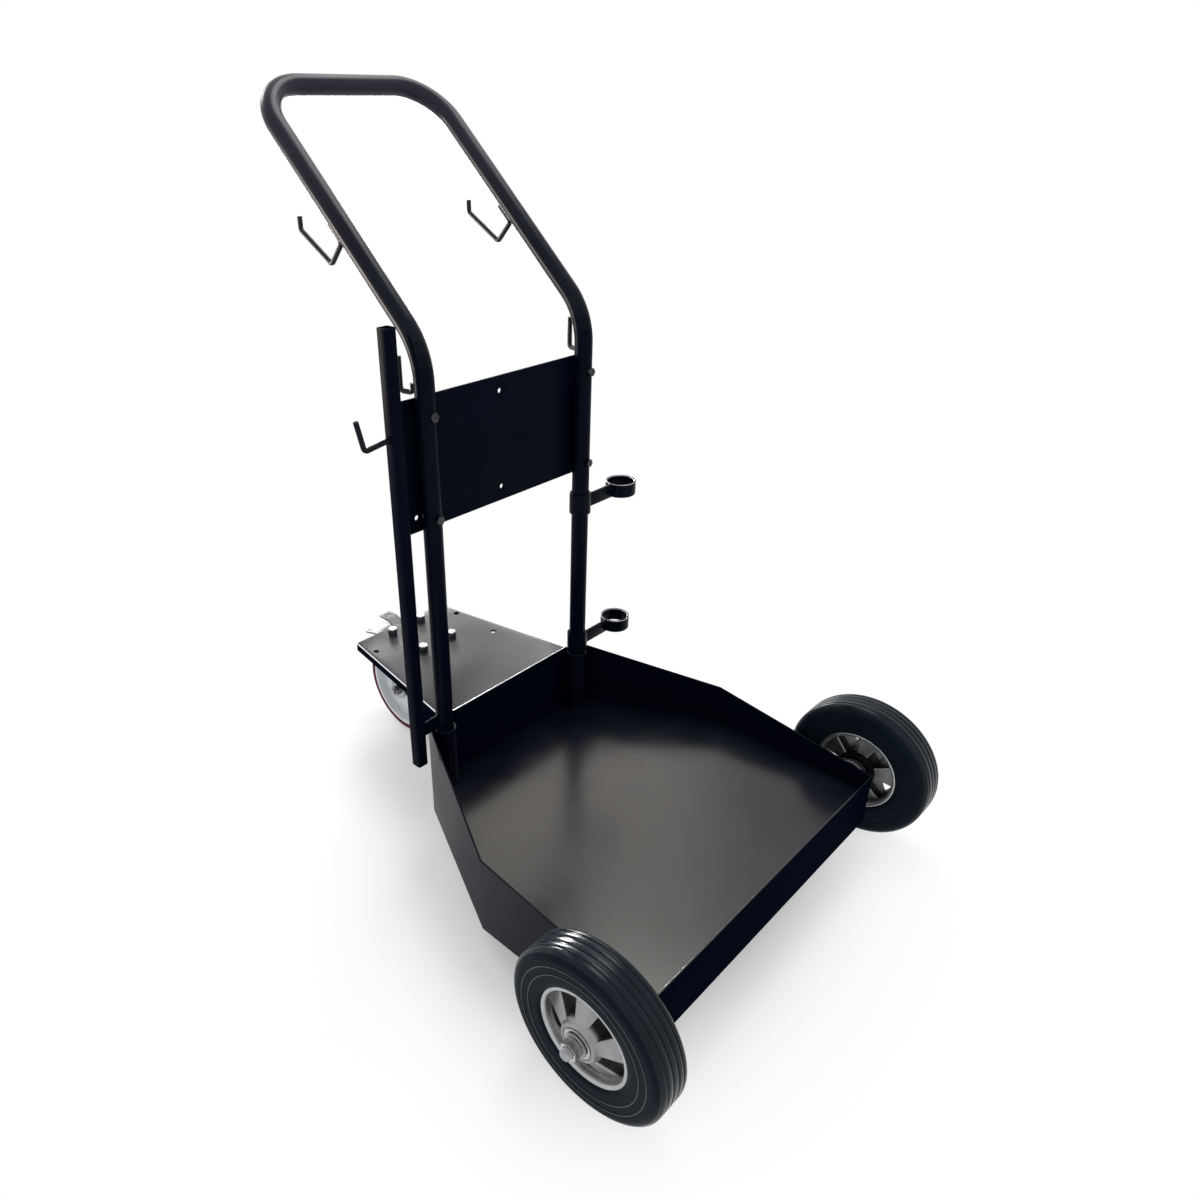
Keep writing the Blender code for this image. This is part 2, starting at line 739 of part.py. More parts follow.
def build_hooks():
    along_leg = Vector((0, math.sin(LEG_ANGLE), math.cos(LEG_ANGLE)))
    from_leg = Vector((0, math.cos(LEG_ANGLE), -math.sin(LEG_ANGLE)))
    seat = TUBE_RADIUS + ROD_RADIUS + GAP
    arm = along_leg * math.cos(HANDLE_HOOK_SPREAD) + from_leg * math.sin(HANDLE_HOOK_SPREAD)
    joint = from_leg * seat
    low = joint + from_leg * HANDLE_HOOK_DROP
    end = low + arm * HANDLE_HOOK_ARM
    points = [joint + along_leg * HANDLE_HOOK_WELD, joint, low, end]
    points.append(end + Vector((0, 0, HANDLE_HOOK_TIP)))
    bends = [0] + [HANDLE_HOOK_BEND] * 3 + [0]
    path = bent(points, bends, ROD_BEND_STEPS)
    hook = rod_shape("handle_hook", path, ROD_RADIUS, ROD_SIDES)
    start = Vector((0, UPRIGHT_Y, BEND_Z)) + along_leg * HANDLE_HOOK_START
    for side, label in ((-1, "left"), (1, "right")):
        spot = start + Vector((side * UPRIGHT_X, 0, 0))
        place("handle_hook_" + label, hook, BLACK, spot)

    for side, label in ((-1, "left"), (1, "right")):
        across = side * seat * math.sin(CABLE_HOOK_TURN)
        behind = seat * math.cos(CABLE_HOOK_TURN)
        outer = across + side * CABLE_HOOK_OUT
        points = [
            (across, behind, BEND_START_Z),
            (across, behind, CABLE_HOOK_BOTTOM),
            (outer, behind + CABLE_HOOK_BACK, CABLE_HOOK_BOTTOM),
            (outer, behind + CABLE_HOOK_BACK, CABLE_HOOK_TOP),
        ]
        path = bent(points, [0, CABLE_HOOK_BEND, CABLE_HOOK_BEND, 0], ROD_BEND_STEPS)
        hook = rod_shape("cable_hook_" + label, path, ROD_RADIUS, ROD_SIDES)
        place("cable_hook_" + label, hook, BLACK, (side * UPRIGHT_X, UPRIGHT_Y, 0))


def build_ring_holders():
    collar = turned(
        "ring_holder",
        ring_section(COLLAR_RADIUS, TUBE_RADIUS + GAP, 0, COLLAR_HEIGHT),
        COLLAR_STEPS,
    )
    top = COLLAR_HEIGHT - RING_BELOW_COLLAR
    ring = turned(
        "holder_ring",
        ring_section(RING_RADIUS, RING_RADIUS - RING_WALL, top - RING_HEIGHT, top),
        COLLAR_STEPS,
    )
    ring.transform(Matrix.Translation((RING_REACH, 0, 0)))
    start = (COLLAR_RADIUS + TUBE_RADIUS + GAP) / 2
    end = RING_REACH - RING_RADIUS + RING_WALL / 2
    edge = rectangle(start, end, -ARM_THICKNESS / 2, ARM_THICKNESS / 2)
    arm = sheet_shape("holder_arm", [edge], RING_HEIGHT)
    arm.transform(Matrix.Translation((0, 0, top - RING_HEIGHT / 2)))
    holder = merged("ring_holder", collar, [arm, ring])
    for height, label in ((UPPER_COLLAR_Z, "upper"), (LOWER_COLLAR_Z, "lower")):
        place("ring_holder_" + label, holder, BLACK, (UPRIGHT_X, UPRIGHT_Y, height))


def tyre_section():
    half = TYRE_WIDTH / 2
    tread = TREAD_WIDTH / 2
    bead = RIM_WIDTH / 2
    rib = RIM_RIB_WIDTH / 2 + GAP
    seat = RIM_RADIUS + GAP
    outer = [(SHOULDER_RADIUS, half), (WHEEL_RADIUS, tread)]
    for row in (1.5, 0.5, -0.5, -1.5):
        centre = row * GROOVE_PITCH
        outer.append((WHEEL_RADIUS, centre + GROOVE_WIDTH / 2))
        outer.append((WHEEL_RADIUS - GROOVE_DEPTH, centre))
        outer.append((WHEEL_RADIUS, centre - GROOVE_WIDTH / 2))
    outer += [(WHEEL_RADIUS, -tread), (SHOULDER_RADIUS, -half)]
    inner = [(seat, -bead), (seat, -rib), (seat + RIM_RIB, -rib)]
    inner += [(radius, -height) for radius, height in reversed(inner)]
    return outer + inner


def rim_side(hub, web):
    """One side of the rim's section, from the lip in to the bore."""
    seat = BEARING_RADIUS + GAP
    shelf = hub + BEARING_PROUD - BEARING_WIDTH - GAP
    return [
        (RIM_RADIUS - RIM_LIP, RIM_WIDTH / 2),
        (BARREL_RADIUS, WEB_AT_BARREL / 2),
        (HUB_RADIUS, web),
        (HUB_END_RADIUS, hub),
        (seat, hub),
        (seat, shelf),
        (HUB_BORE_RADIUS, shelf),
    ]


def rim_section():
    half = RIM_WIDTH / 2
    rib = RIM_RIB_WIDTH / 2
    seat = [(RIM_RADIUS, half), (RIM_RADIUS, rib), (RIM_RADIUS + RIM_RIB, rib)]
    seat += [(radius, -height) for radius, height in reversed(seat)]
    outer = rim_side(HUB_OUTER, WEB_OUTER_AT_HUB)
    inner = rim_side(HUB_INNER, WEB_INNER_AT_HUB)
    return seat + [(radius, -height) for radius, height in inner] + outer[::-1]


def window_outline(turn):
    """One opening between two spokes, with straight sides that spread from hub to rim."""
    corners = [
        (WINDOW_INNER_RADIUS, WINDOW_INNER_ANGLE / 2),
        (WINDOW_INNER_RADIUS, -WINDOW_INNER_ANGLE / 2),
        (WINDOW_OUTER_RADIUS, -WINDOW_OUTER_ANGLE / 2),
        (WINDOW_OUTER_RADIUS, 0),
        (WINDOW_OUTER_RADIUS, WINDOW_OUTER_ANGLE / 2),
    ]
    points = [
        (radius * math.cos(turn + angle), radius * math.sin(turn + angle))
        for radius, angle in corners
    ]
    return rounded(points, WINDOW_CORNER, 2)


def build_front_wheels():
    tyre = turned("wheel_tyre", tyre_section(), TYRE_STEPS, ALONG_X)
    blank = turned("wheel_rim", rim_section(), RIM_STEPS, ALONG_X)
    windows = sheet_shape(
        "rim_windows",
        [window_outline(2 * math.pi * spoke / SPOKES) for spoke in range(SPOKES)],
        2 * HUB_OUTER,
        ALONG_X,
    )
    rims = {"right": smooth(merged("wheel_rim", blank, [windows], "DIFFERENCE"))}
    rims["left"] = rims["right"].copy()
    rims["left"].transform(Matrix.Rotation(math.pi, 4, "Z"))
    rims["right"].transform(Matrix.Rotation(RIGHT_RIM_TURN, 4, "X"))
    half = BEARING_WIDTH / 2
    section = ring_section(BEARING_RADIUS, AXLE_RADIUS + GAP, -half, half)
    bearing = turned("wheel_bearing", section, RIM_STEPS, ALONG_X)
    outer_x = OUTER_FACE_X - half
    inner_x = INNER_FACE_X - half
    for side, label in ((-1, "left"), (1, "right")):
        axis = axis_at(label + "_wheel_axis", (side * TRACK / 2, AXLE_Y, AXLE_Z))
        place("wheel_tyre_" + label, tyre, RUBBER, parent=axis)
        place("wheel_rim_" + label, rims[label], CAST, parent=axis)
        place("bearing_outer_" + label, bearing, STEEL, (side * outer_x, 0, 0), axis)
        place("bearing_inner_" + label, bearing, STEEL, (-side * inner_x, 0, 0), axis)


def build_front_axles():
    flange_x = TRAY_WIDTH / 2 + GAP
    flange_end = flange_x + AXLE_FLANGE
    shoulder = WASHER_X - GAP
    section = [
        (0, AXLE_END_X - flange_x),
        (AXLE_END_RADIUS, AXLE_END_X - flange_x),
        (AXLE_END_RADIUS, shoulder - flange_x),
        (AXLE_RADIUS, shoulder - flange_x),
        (AXLE_RADIUS, AXLE_FLANGE),
        (AXLE_FLANGE_RADIUS, AXLE_FLANGE),
        (AXLE_FLANGE_RADIUS, 0),
        (0, 0),
    ]
    stub = turned("axle_stub", section, HUB_STEPS, ALONG_X)
    spacer_end = TRACK / 2 - INNER_FACE_X - GAP
    spacer = turned(
        "wheel_spacer",
        ring_section(SPACER_RADIUS, AXLE_RADIUS + GAP, flange_end + GAP - spacer_end, 0),
        HUB_STEPS,
        ALONG_X,
    )
    washer = turned(
        "wheel_washer",
        ring_section(WASHER_RADIUS, AXLE_END_RADIUS + GAP, 0, WASHER_THICKNESS),
        HUB_STEPS,
        ALONG_X,
    )
    nut = nut_mesh("axle_nut", AXLE_NUT_FLATS, AXLE_NUT_HEIGHT, AXLE_END_RADIUS + 2 * GAP)
    nut.transform(ALONG_X)
    for side, label in ((-1, "left"), (1, "right")):
        half_turn = math.pi if side < 0 else 0
        pieces = (
            ("axle_stub_", stub, STEEL, flange_x),
            ("wheel_spacer_", spacer, BLACK, spacer_end),
            ("wheel_washer_", washer, ZINC, WASHER_X),
            ("axle_nut_", nut, ZINC, NUT_X),
        )
        for name, mesh, material, along in pieces:
            item = place(name + label, mesh, material, (side * along, AXLE_Y, AXLE_Z))
            item.rotation_euler.z = half_turn


def build_caster_mount():
    edge = rectangle(-TOP_PLATE_X / 2, TOP_PLATE_X / 2, -TOP_PLATE_Y / 2, TOP_PLATE_Y / 2)
    plate = sheet_shape("caster_top_plate", [rounded(edge, TOP_PLATE_CORNER)], TOP_PLATE)
    race_depth = RACE_HEIGHT + TOP_PLATE / 2
    race = sheet_shape("ball_race", [circle(0, 0, RACE_RADIUS, COLLAR_STEPS)], race_depth)
    race.transform(Matrix.Translation((0, 0, -race_depth / 2)))
    bore = sheet_shape(
        "kingpin_bore", [circle(0, 0, KINGPIN_RADIUS + GAP, HUB_STEPS)], 4 * race_depth
    )
    places = [(across, along - SWIVEL_Y, 0) for across, along in caster_bolt_places()]
    holes = hole_tools("top_plate_holes", places, CASTER_BOLT_RADIUS + GAP, 3 * TOP_PLATE)
    mount = merged("caster_top_plate", plate, [race])
    mount = merged("caster_top_plate", mount, [bore, holes], "DIFFERENCE")
    mount.transform(Matrix.Translation((0, 0, TOP_PLATE_BOTTOM_Z + TOP_PLATE / 2)))
    place("caster_top_plate", mount, ZINC, (0, SWIVEL_Y, 0))

    head_z = CROWN_BOTTOM_Z - GAP
    section = [
        (0, TOP_PLATE_TOP_Z),
        (KINGPIN_RADIUS, TOP_PLATE_TOP_Z),
        (KINGPIN_RADIUS, head_z),
        (KINGPIN_HEAD_RADIUS, head_z),
        (KINGPIN_HEAD_RADIUS, head_z - KINGPIN_HEAD),
        (0, head_z - KINGPIN_HEAD),
    ]
    kingpin = turned("caster_kingpin", section, HUB_STEPS)
    place("caster_kingpin", kingpin, ZINC, (0, SWIVEL_Y, 0))

    seat_z = REAR_Z + GAP
    nut_z = TOP_PLATE_BOTTOM_Z - GAP - CASTER_BOLT_NUT
    length = seat_z - nut_z + CASTER_BOLT_PROUD
    bolt = bolt_mesh("caster_bolt", CASTER_BOLT_FLATS, CASTER_BOLT_HEAD, CASTER_BOLT_RADIUS, length)
    nut = nut_mesh("caster_nut", CASTER_BOLT_FLATS, CASTER_BOLT_NUT, CASTER_BOLT_RADIUS + GAP)
    labels = ("left_front", "left_rear", "right_front", "right_rear")
    for (across, along), label in zip(caster_bolt_places(), labels):
        place("caster_bolt_" + label, bolt, ZINC, (across, along, seat_z))
        place("caster_nut_" + label, nut, ZINC, (across, along, nut_z))


def fork_side():
    """The fork seen from the side: crown, raked legs and the axle boss."""
    boss = [
        (
            CASTER_TRAIL + FORK_BOSS * math.cos(angle),
            CASTER_RADIUS + FORK_BOSS * math.sin(angle),
        )
        for angle in (math.radians(degrees) for degrees in range(200, 391, 38))
    ]
    shoulder = [
        (FORK_LEG_REAR, FORK_SHOULDER_Z),
        (FORK_LEG_REAR, CROWN_TOP_Z),
        (-FORK_FRONT, CROWN_TOP_Z),
        (-FORK_FRONT, FORK_SHOULDER_Z),
        (FORK_WAIST, FORK_WAIST_Z),
    ]
    return boss + shoulder


def build_fork(axis):
    outer = FORK_OUTER_X
    inner = FORK_INNER_X
    low = CASTER_RADIUS - 2 * FORK_BOSS
    arch = [(outer, low), (outer, CROWN_TOP_Z), (-outer, CROWN_TOP_Z), (-outer, low)]
    arch += [(-inner, low), (-inner, CROWN_BOTTOM_Z), (inner, CROWN_BOTTOM_Z), (inner, low)]
    inside_corner = FORK_CORNER - FORK_SHEET
    bends = [0, FORK_CORNER, FORK_CORNER, 0, 0, inside_corner, inside_corner, 0]
    path = bent([(*point, 0) for point in arch], bends, 3, True)
    outline = [(point.x, point.y) for point in path]
    channel = sheet_shape("caster_fork", [outline], 4 * CASTER_RADIUS, FACING_Y)
    side = sheet_shape("fork_side", [fork_side()], 4 * outer, SIDE_VIEW)
    shape = merged("caster_fork", channel, [side], "INTERSECT")

    notch_rear = FORK_LEG_REAR + FORK_SHEET
    notch = sheet_shape(
        "crown_notch",
        [rectangle(-inner, inner, FORK_CROWN_REAR, notch_rear)],
        4 * FORK_SHEET,
    )
    notch.transform(Matrix.Translation((0, 0, CROWN_TOP_Z)))
    pivot_hole = sheet_shape(
        "kingpin_hole", [circle(0, 0, KINGPIN_RADIUS + GAP, HUB_STEPS)], 4 * FORK_SHEET
    )
    pivot_hole.transform(Matrix.Translation((0, 0, CROWN_TOP_Z)))
    axle_hole = sheet_shape(
        "caster_axle_hole",
        [circle(CASTER_TRAIL, CASTER_RADIUS, CASTER_AXLE_RADIUS + GAP)],
        4 * outer,
        SIDE_VIEW,
    )
    pin_hole = sheet_shape(
        "brake_pin_hole",
        [circle(PEDAL_PIVOT_Y, PEDAL_PIVOT_Z, PEDAL_PIN_RADIUS + GAP)],
        4 * outer,
        SIDE_VIEW,
    )
    shape = merged("caster_fork", shape, [notch, pivot_hole, axle_hole, pin_hole], "DIFFERENCE")
    place("caster_fork", shape, ZINC, (0, 0, -CROWN_TOP_Z), axis)

    centre = (0, CASTER_TRAIL, CASTER_RADIUS - CROWN_TOP_Z)
    face = FORK_OUTER_X + GAP
    length = 2 * face + CASTER_NUT_HEIGHT + CASTER_AXLE_PROUD
    bolt = bolt_mesh("caster_axle", CASTER_AXLE_FLATS, CASTER_AXLE_HEAD, CASTER_AXLE_RADIUS, length)
    bolt.transform(Matrix.Translation((face, 0, 0)) @ ALONG_X)
    place("caster_axle", bolt, ZINC, centre, axis)
    nut = nut_mesh("caster_axle_nut", CASTER_AXLE_FLATS, CASTER_NUT_HEIGHT, CASTER_AXLE_RADIUS + GAP)
    nut.transform(Matrix.Translation((-face, 0, 0)) @ ALONG_X.inverted())
    place("caster_axle_nut", nut, ZINC, centre, axis)

    head = PEDAL_PIN_HEAD
    section = [
        (0, face + PEDAL_PIN_HEAD_HEIGHT),
        (head, face + PEDAL_PIN_HEAD_HEIGHT),
        (head, face),
        (PEDAL_PIN_RADIUS, face),
    ]
    section += [(radius, -height) for radius, height in reversed(section)]
    pin = turned("brake_pin", section, BOLT_STEPS, ALONG_X)
    place("brake_pin", pin, ZINC, (0, PEDAL_PIVOT_Y, PEDAL_PIVOT_Z - CROWN_TOP_Z), axis)


def build_caster_wheel(axis):
    half = CASTER_WIDTH / 2
    rim = CASTER_CORE_RADIUS - CORE_RIM
    web = CORE_WEB / 2
    hub = CORE_HUB_WIDTH / 2
    seat = CASTER_BEARING_RADIUS + GAP
    section = [
        (CASTER_CORE_RADIUS, half),
        (CASTER_CORE_RADIUS, -half),
        (rim, -half),
        (rim, -web),
        (CORE_HUB_RADIUS, -web),
        (CORE_HUB_RADIUS, -hub),
        (seat, -hub),
        (seat, hub),
        (CORE_HUB_RADIUS, hub),
        (CORE_HUB_RADIUS, web),
        (rim, web),
        (rim, half),
    ]
    spot = (0, CASTER_TRAIL, CASTER_RADIUS - CROWN_TOP_Z)
    spin = axis_at("caster_wheel_axis", spot, axis)
    core = turned("caster_core", section, CASTER_STEPS, ALONG_X)
    place("caster_core", core, PALE, parent=spin)

    seat = CASTER_CORE_RADIUS + GAP
    edge = CASTER_RADIUS - CASTER_CROWN
    section = [(seat, half), (edge, half), (CASTER_RADIUS, half - 2 * CASTER_CROWN)]
    section += [(radius, -height) for radius, height in reversed(section)]
    tyre = turned("caster_tyre", section, CASTER_STEPS, ALONG_X)
    place("caster_tyre", tyre, RED, parent=spin)

    bore = CASTER_AXLE_RADIUS + GAP
    section = ring_section(CASTER_BEARING_RADIUS, bore, -hub, hub)
    bearing = turned("caster_bearing", section, HUB_STEPS, ALONG_X)
    place("caster_bearing", bearing, STEEL, parent=spin)


def pedal_strip(points):
    """A strip of pedal sheet seen from the side, below the given top line."""
    low = [(along, height - PEDAL_SHEET) for along, height in points]
    return points + low[::-1]


def build_pedal(axis):
    pivot = axis_at(
        "brake_pedal_axis", (0, PEDAL_PIVOT_Y, PEDAL_PIVOT_Z - CROWN_TOP_Z), axis
    )
    top = PEDAL_Z - PEDAL_PIVOT_Z
    flat_end = PEDAL_FLAT_END - PEDAL_PIVOT_Y
    end = PEDAL_END - PEDAL_PIVOT_Y
    strip = pedal_strip([(0, top), (flat_end, top), (end, PEDAL_END_Z - PEDAL_PIVOT_Z)])
    blade = sheet_shape("brake_pedal", [strip], PEDAL_WIDTH, SIDE_VIEW)
    neck = PEDAL_NECK / 2
    half = PEDAL_WIDTH / 2
    neck_end = PEDAL_NECK_END - PEDAL_PIVOT_Y
    plan = [
        (-neck, -PEDAL_BARREL_RADIUS),
        (neck, -PEDAL_BARREL_RADIUS),
        (neck, neck_end),
        (half, neck_end + half - neck),
        (half, end),
        (-half, end),
        (-half, neck_end + half - neck),
        (-neck, neck_end),
    ]
    corners = [0, 0, 0, 0, PEDAL_CORNER, PEDAL_CORNER, 0, 0]
    path = bent([(*point, 0) for point in plan], corners, 4, True)
    outline = sheet_shape(
        "pedal_plan", [[(point.x, point.y) for point in path]], 4 * PEDAL_BARREL_RADIUS
    )
    outline.transform(Matrix.Translation((0, 0, -PEDAL_BARREL_RADIUS)))
    blade = merged("brake_pedal", blade, [outline], "INTERSECT")

    tab_points = [
        (TAB_START - PEDAL_PIVOT_Y, top),
        (TAB_BEND - PEDAL_PIVOT_Y, TAB_Z - PEDAL_PIVOT_Z),
        (TAB_END - PEDAL_PIVOT_Y, TAB_Z - PEDAL_PIVOT_Z),
    ]
    tab = sheet_shape("pedal_tab", [pedal_strip(tab_points)], TAB_WIDTH, SIDE_VIEW)
    reach = TAB_SLOT_LENGTH / 2
    slots = []
    for row in (1, 2):
        far = TAB_END - PEDAL_PIVOT_Y - row * TAB_SLOT_PITCH + TAB_SLOT_WIDTH / 2
        slots.append(rectangle(-reach, reach, far - TAB_SLOT_WIDTH, far))
    slots = sheet_shape("tab_slots", slots, 4 * PEDAL_SHEET)
    slots.transform(Matrix.Translation((0, 0, TAB_Z - PEDAL_PIVOT_Z)))
    tab = merged("pedal_tab", tab, [slots], "DIFFERENCE")
    tab.transform(Matrix.Translation((half - TAB_WIDTH / 2, 0, 0)))
    barrel = sheet_shape(
        "pedal_barrel", [circle(0, 0, PEDAL_BARREL_RADIUS, HUB_STEPS)], PEDAL_NECK, SIDE_VIEW
    )
    blade = merged("brake_pedal", blade, [barrel, tab])
    hole = sheet_shape(
        "pedal_pin_hole",
        [circle(0, 0, PEDAL_PIN_RADIUS + GAP)],
        2 * PEDAL_NECK,
        SIDE_VIEW,
    )
    blade = merged("brake_pedal", blade, [hole], "DIFFERENCE")
    place("brake_pedal", blade, ZINC, parent=pivot)


def build_caster():
    build_caster_mount()
    axis = axis_at("caster_swivel_axis", (0, SWIVEL_Y, CROWN_TOP_Z))
    build_fork(axis)
    build_caster_wheel(axis)
    build_pedal(axis)


build_tray()
build_rear_plate()
build_handle()
build_panel()
build_post()
build_hooks()
build_ring_holders()
build_front_axles()
build_front_wheels()
build_caster()
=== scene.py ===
"""Looks of the drum trolley: finishes, finer round pieces, welds, light and camera.

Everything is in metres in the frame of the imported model: X to the right, Y to the
rear, Z up, ground at Z = 0.
"""

import json
import math
from collections import namedtuple

import bmesh
import bpy
from mathutils import Matrix, Vector


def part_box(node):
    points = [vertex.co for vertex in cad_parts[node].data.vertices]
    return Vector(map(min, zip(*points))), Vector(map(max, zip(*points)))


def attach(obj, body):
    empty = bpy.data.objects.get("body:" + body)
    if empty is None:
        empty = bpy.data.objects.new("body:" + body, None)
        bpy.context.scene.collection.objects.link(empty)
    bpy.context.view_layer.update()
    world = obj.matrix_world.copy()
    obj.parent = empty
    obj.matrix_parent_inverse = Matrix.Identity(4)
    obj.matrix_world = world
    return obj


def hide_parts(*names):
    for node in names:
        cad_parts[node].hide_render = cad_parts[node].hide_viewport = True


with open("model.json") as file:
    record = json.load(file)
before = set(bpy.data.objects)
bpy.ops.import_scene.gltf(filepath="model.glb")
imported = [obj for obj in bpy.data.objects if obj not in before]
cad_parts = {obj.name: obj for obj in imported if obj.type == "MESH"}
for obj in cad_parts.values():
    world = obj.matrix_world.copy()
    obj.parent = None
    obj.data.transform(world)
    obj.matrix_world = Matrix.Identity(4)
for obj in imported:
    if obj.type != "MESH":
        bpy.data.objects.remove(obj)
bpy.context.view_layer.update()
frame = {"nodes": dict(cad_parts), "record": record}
NODES = frame["nodes"]
BODY_OF = {
    node: body for body, nodes in frame["record"]["behaviour"]["bodies"].items() for node in nodes
}
SLOT_OF = {item["node"]: item["material_slot"] for item in frame["record"]["subparts"]}
SIDES = ((-1, "left"), (1, "right"))

# Camera, solved from the photo
EYE = Vector((-0.9659, -0.8603, 1.1470))
YAW = 0.774
PITCH = 0.489
ROLL = -0.021
FOCAL_PIXELS = 899.0
IMAGE_PIXELS = 1200
PRINCIPAL = (505.16, 596.76)
SENSOR = 36.0

# Handle, sockets and ring holders, as in the solids
GAP = 0.0003
TUBE_RADIUS = 0.015
UPRIGHT_X = 0.170
UPRIGHT_Y = 0.1067
FLOOR_Z = 0.115
BEND_Z = 0.869
LEG_ANGLE = math.radians(46.9)
LEG_LENGTH = 0.4805
LOWER_BEND = 0.110
CORNER_BEND = 0.080
COLLAR_RADIUS = 0.019
COLLAR_HEIGHT = 0.038
COLLAR_EDGE = 0.0008
RING_RADIUS = 0.028
RING_WALL = 0.004
RING_HEIGHT = 0.025
RING_BELOW_COLLAR = 0.009
RING_REACH = 0.114
ARM_THICKNESS = 0.005
ARM_OVERLAP = 0.002
ARM_EASE = 0.0007

# Rod hooks, as in the solids
ROD_RADIUS = 0.004
HANDLE_HOOK_START = 0.206
HANDLE_HOOK_WELD = 0.034
HANDLE_HOOK_DROP = 0.043
HANDLE_HOOK_ARM = 0.0825
HANDLE_HOOK_SPREAD = math.radians(12.5)
HANDLE_HOOK_TIP = 0.019
HANDLE_HOOK_BEND = 0.0065
CABLE_HOOK_TURN = math.radians(18)
CABLE_HOOK_BOTTOM = 0.808
CABLE_HOOK_TOP = 0.857
CABLE_HOOK_OUT = 0.005
CABLE_HOOK_BACK = 0.0215
CABLE_HOOK_BEND = 0.006
POST = Vector((-0.225, 0.1117, 0))
POST_HALF = 0.010
POST_HOOK_Z = 0.755
POST_HOOK_REACH = 0.042
POST_HOOK_DROP = 0.006
POST_HOOK_RISE = 0.044
POST_HOOK_LEAN = 0.010
POST_HOOK_BEND = 0.0065

# Front wheels; sections are lists of (radius, along the axle)
AXLE = Vector((0.365, -0.394, 0.125))
WHEEL_RADIUS = 0.125
RIM_RADIUS = 0.072
TYRE_SIDE = [
    (RIM_RADIUS + GAP, 0.0268),
    (0.0745, 0.0284),
    (0.0790, 0.0291),
    (0.0900, 0.0293),
    (0.0905, 0.0301),
    (0.0917, 0.0301),
    (0.0922, 0.0294),
    (0.1020, 0.0296),
    (0.1025, 0.0304),
    (0.1037, 0.0304),
    (0.1042, 0.0297),
    (0.1080, 0.0300),
    (0.1110, 0.0299),
    (0.1140, 0.0294),
    (0.1168, 0.0281),
    (0.1200, 0.0261),
    (0.1226, 0.0239),
    (0.1241, 0.0220),
    (0.1246, 0.0204),
]
TREAD_MIDDLE = (WHEEL_RADIUS, 0.0015)
TYRE_RINGS = (0.0911, 0.1031)
TYRE_RING_HALF = 0.0004
TREAD_START = 0.1190
GROOVE_PITCH = 0.0105
GROOVE_ROWS = (1.5, 0.5)
GROOVE = [(0.0001, 0.0016), (0.0005, 0.0010), (0.0013, 0.0006)]  # (depth, half width)
RIM_BARREL = [
    (0.0620, 0.0060),
    (0.0620, 0.0140),
    (0.0632, 0.0158),
    (0.0644, 0.0200),
    (0.0656, 0.0244),
    (0.0666, 0.0260),
    (0.0682, 0.0270),
    (0.0702, 0.0271),
    (0.0715, 0.0264),
    (RIM_RADIUS, 0.0250),
    (RIM_RADIUS, 0.0060),
]
RIM_HUB = [
    (0.0213, 0.0350),
    (0.0232, 0.0350),
    (0.0238, 0.0360),
    (0.0266, 0.0360),
    (0.0280, 0.0353),
    (0.0287, 0.0338),
    (0.0296, 0.0312),
    (0.0309, 0.0292),
    (0.0322, 0.0262),
    (0.0327, 0.0220),
    (0.0329, 0.0060),
    (0.0327, -0.0110),
    (0.0320, -0.0160),
    (0.0306, -0.0190),
    (0.0296, -0.0210),
    (0.0287, -0.0238),
    (0.0280, -0.0253),
    (0.0266, -0.0260),
    (0.0238, -0.0260),
    (0.0232, -0.0250),
    (0.0213, -0.0250),
]
LIP_START = 0.0658
WINDOW_DEPTH = 0.0165
WINDOW_MARGIN = 0.00005
HUB_RADIUS = 0.0335
SPOKES = 5
SPOKE_START = {"left": math.radians(90), "right": math.radians(99)}
SPOKE_INNER = 0.024
SPOKE_OUTER = 0.0645
SPOKE_ANGLE = math.radians(20.2)
SPOKE_OUT = (0.0340, 0.0137)
SPOKE_IN = (0.0209, 0.0146)
SPOKE_TAPER = 0.88
SPOKE_CORNER = 0.0028
SPOKE_CORNER_STEPS = 4
SPOKE_HOLLOW = 0.0012
SPOKE_HOLLOW_SHARES = (0.6, 0.2, -0.2, -0.6)
SPOKE_ROWS = 14
SPOKE_SHARP_ANGLE = math.radians(50)
BEARING_HALF = 0.0060
BEARING = [  # (radius, depth below the end face)
    (0.0103, 0.0004),
    (0.0107, 0.0),
    (0.0130, 0.0),
    (0.0133, 0.0009),
    (0.0180, 0.0009),
    (0.0183, 0.0),
    (0.0206, 0.0),
    (0.0210, 0.0004),
]
THREAD_START = 0.0880
THREAD_RUN_IN = 0.0015
THREAD_STOP = 0.0030
THREAD_PITCH = 0.0020
THREAD_CREST = 0.0080
THREAD_ROOT = 0.0073
STUB_FLANGE_AND_SHANK = [
    (0.0, 0.0),
    (0.0315, 0.0),
    (0.0320, 0.0005),
    (0.0320, 0.0075),
    (0.0315, 0.0080),
    (0.0115, 0.0080),
    (0.0100, 0.0095),
    (0.0100, THREAD_START),
    (THREAD_CREST, THREAD_START),
]
STUB_TIP = [(0.0072, 0.0008), (0.0062, 0.0), (0.0, 0.0)]  # (radius, distance from the end)
WASHER_OUTER = 0.0170
WASHER_INNER = 0.0083
WASHER_EDGE = 0.0005

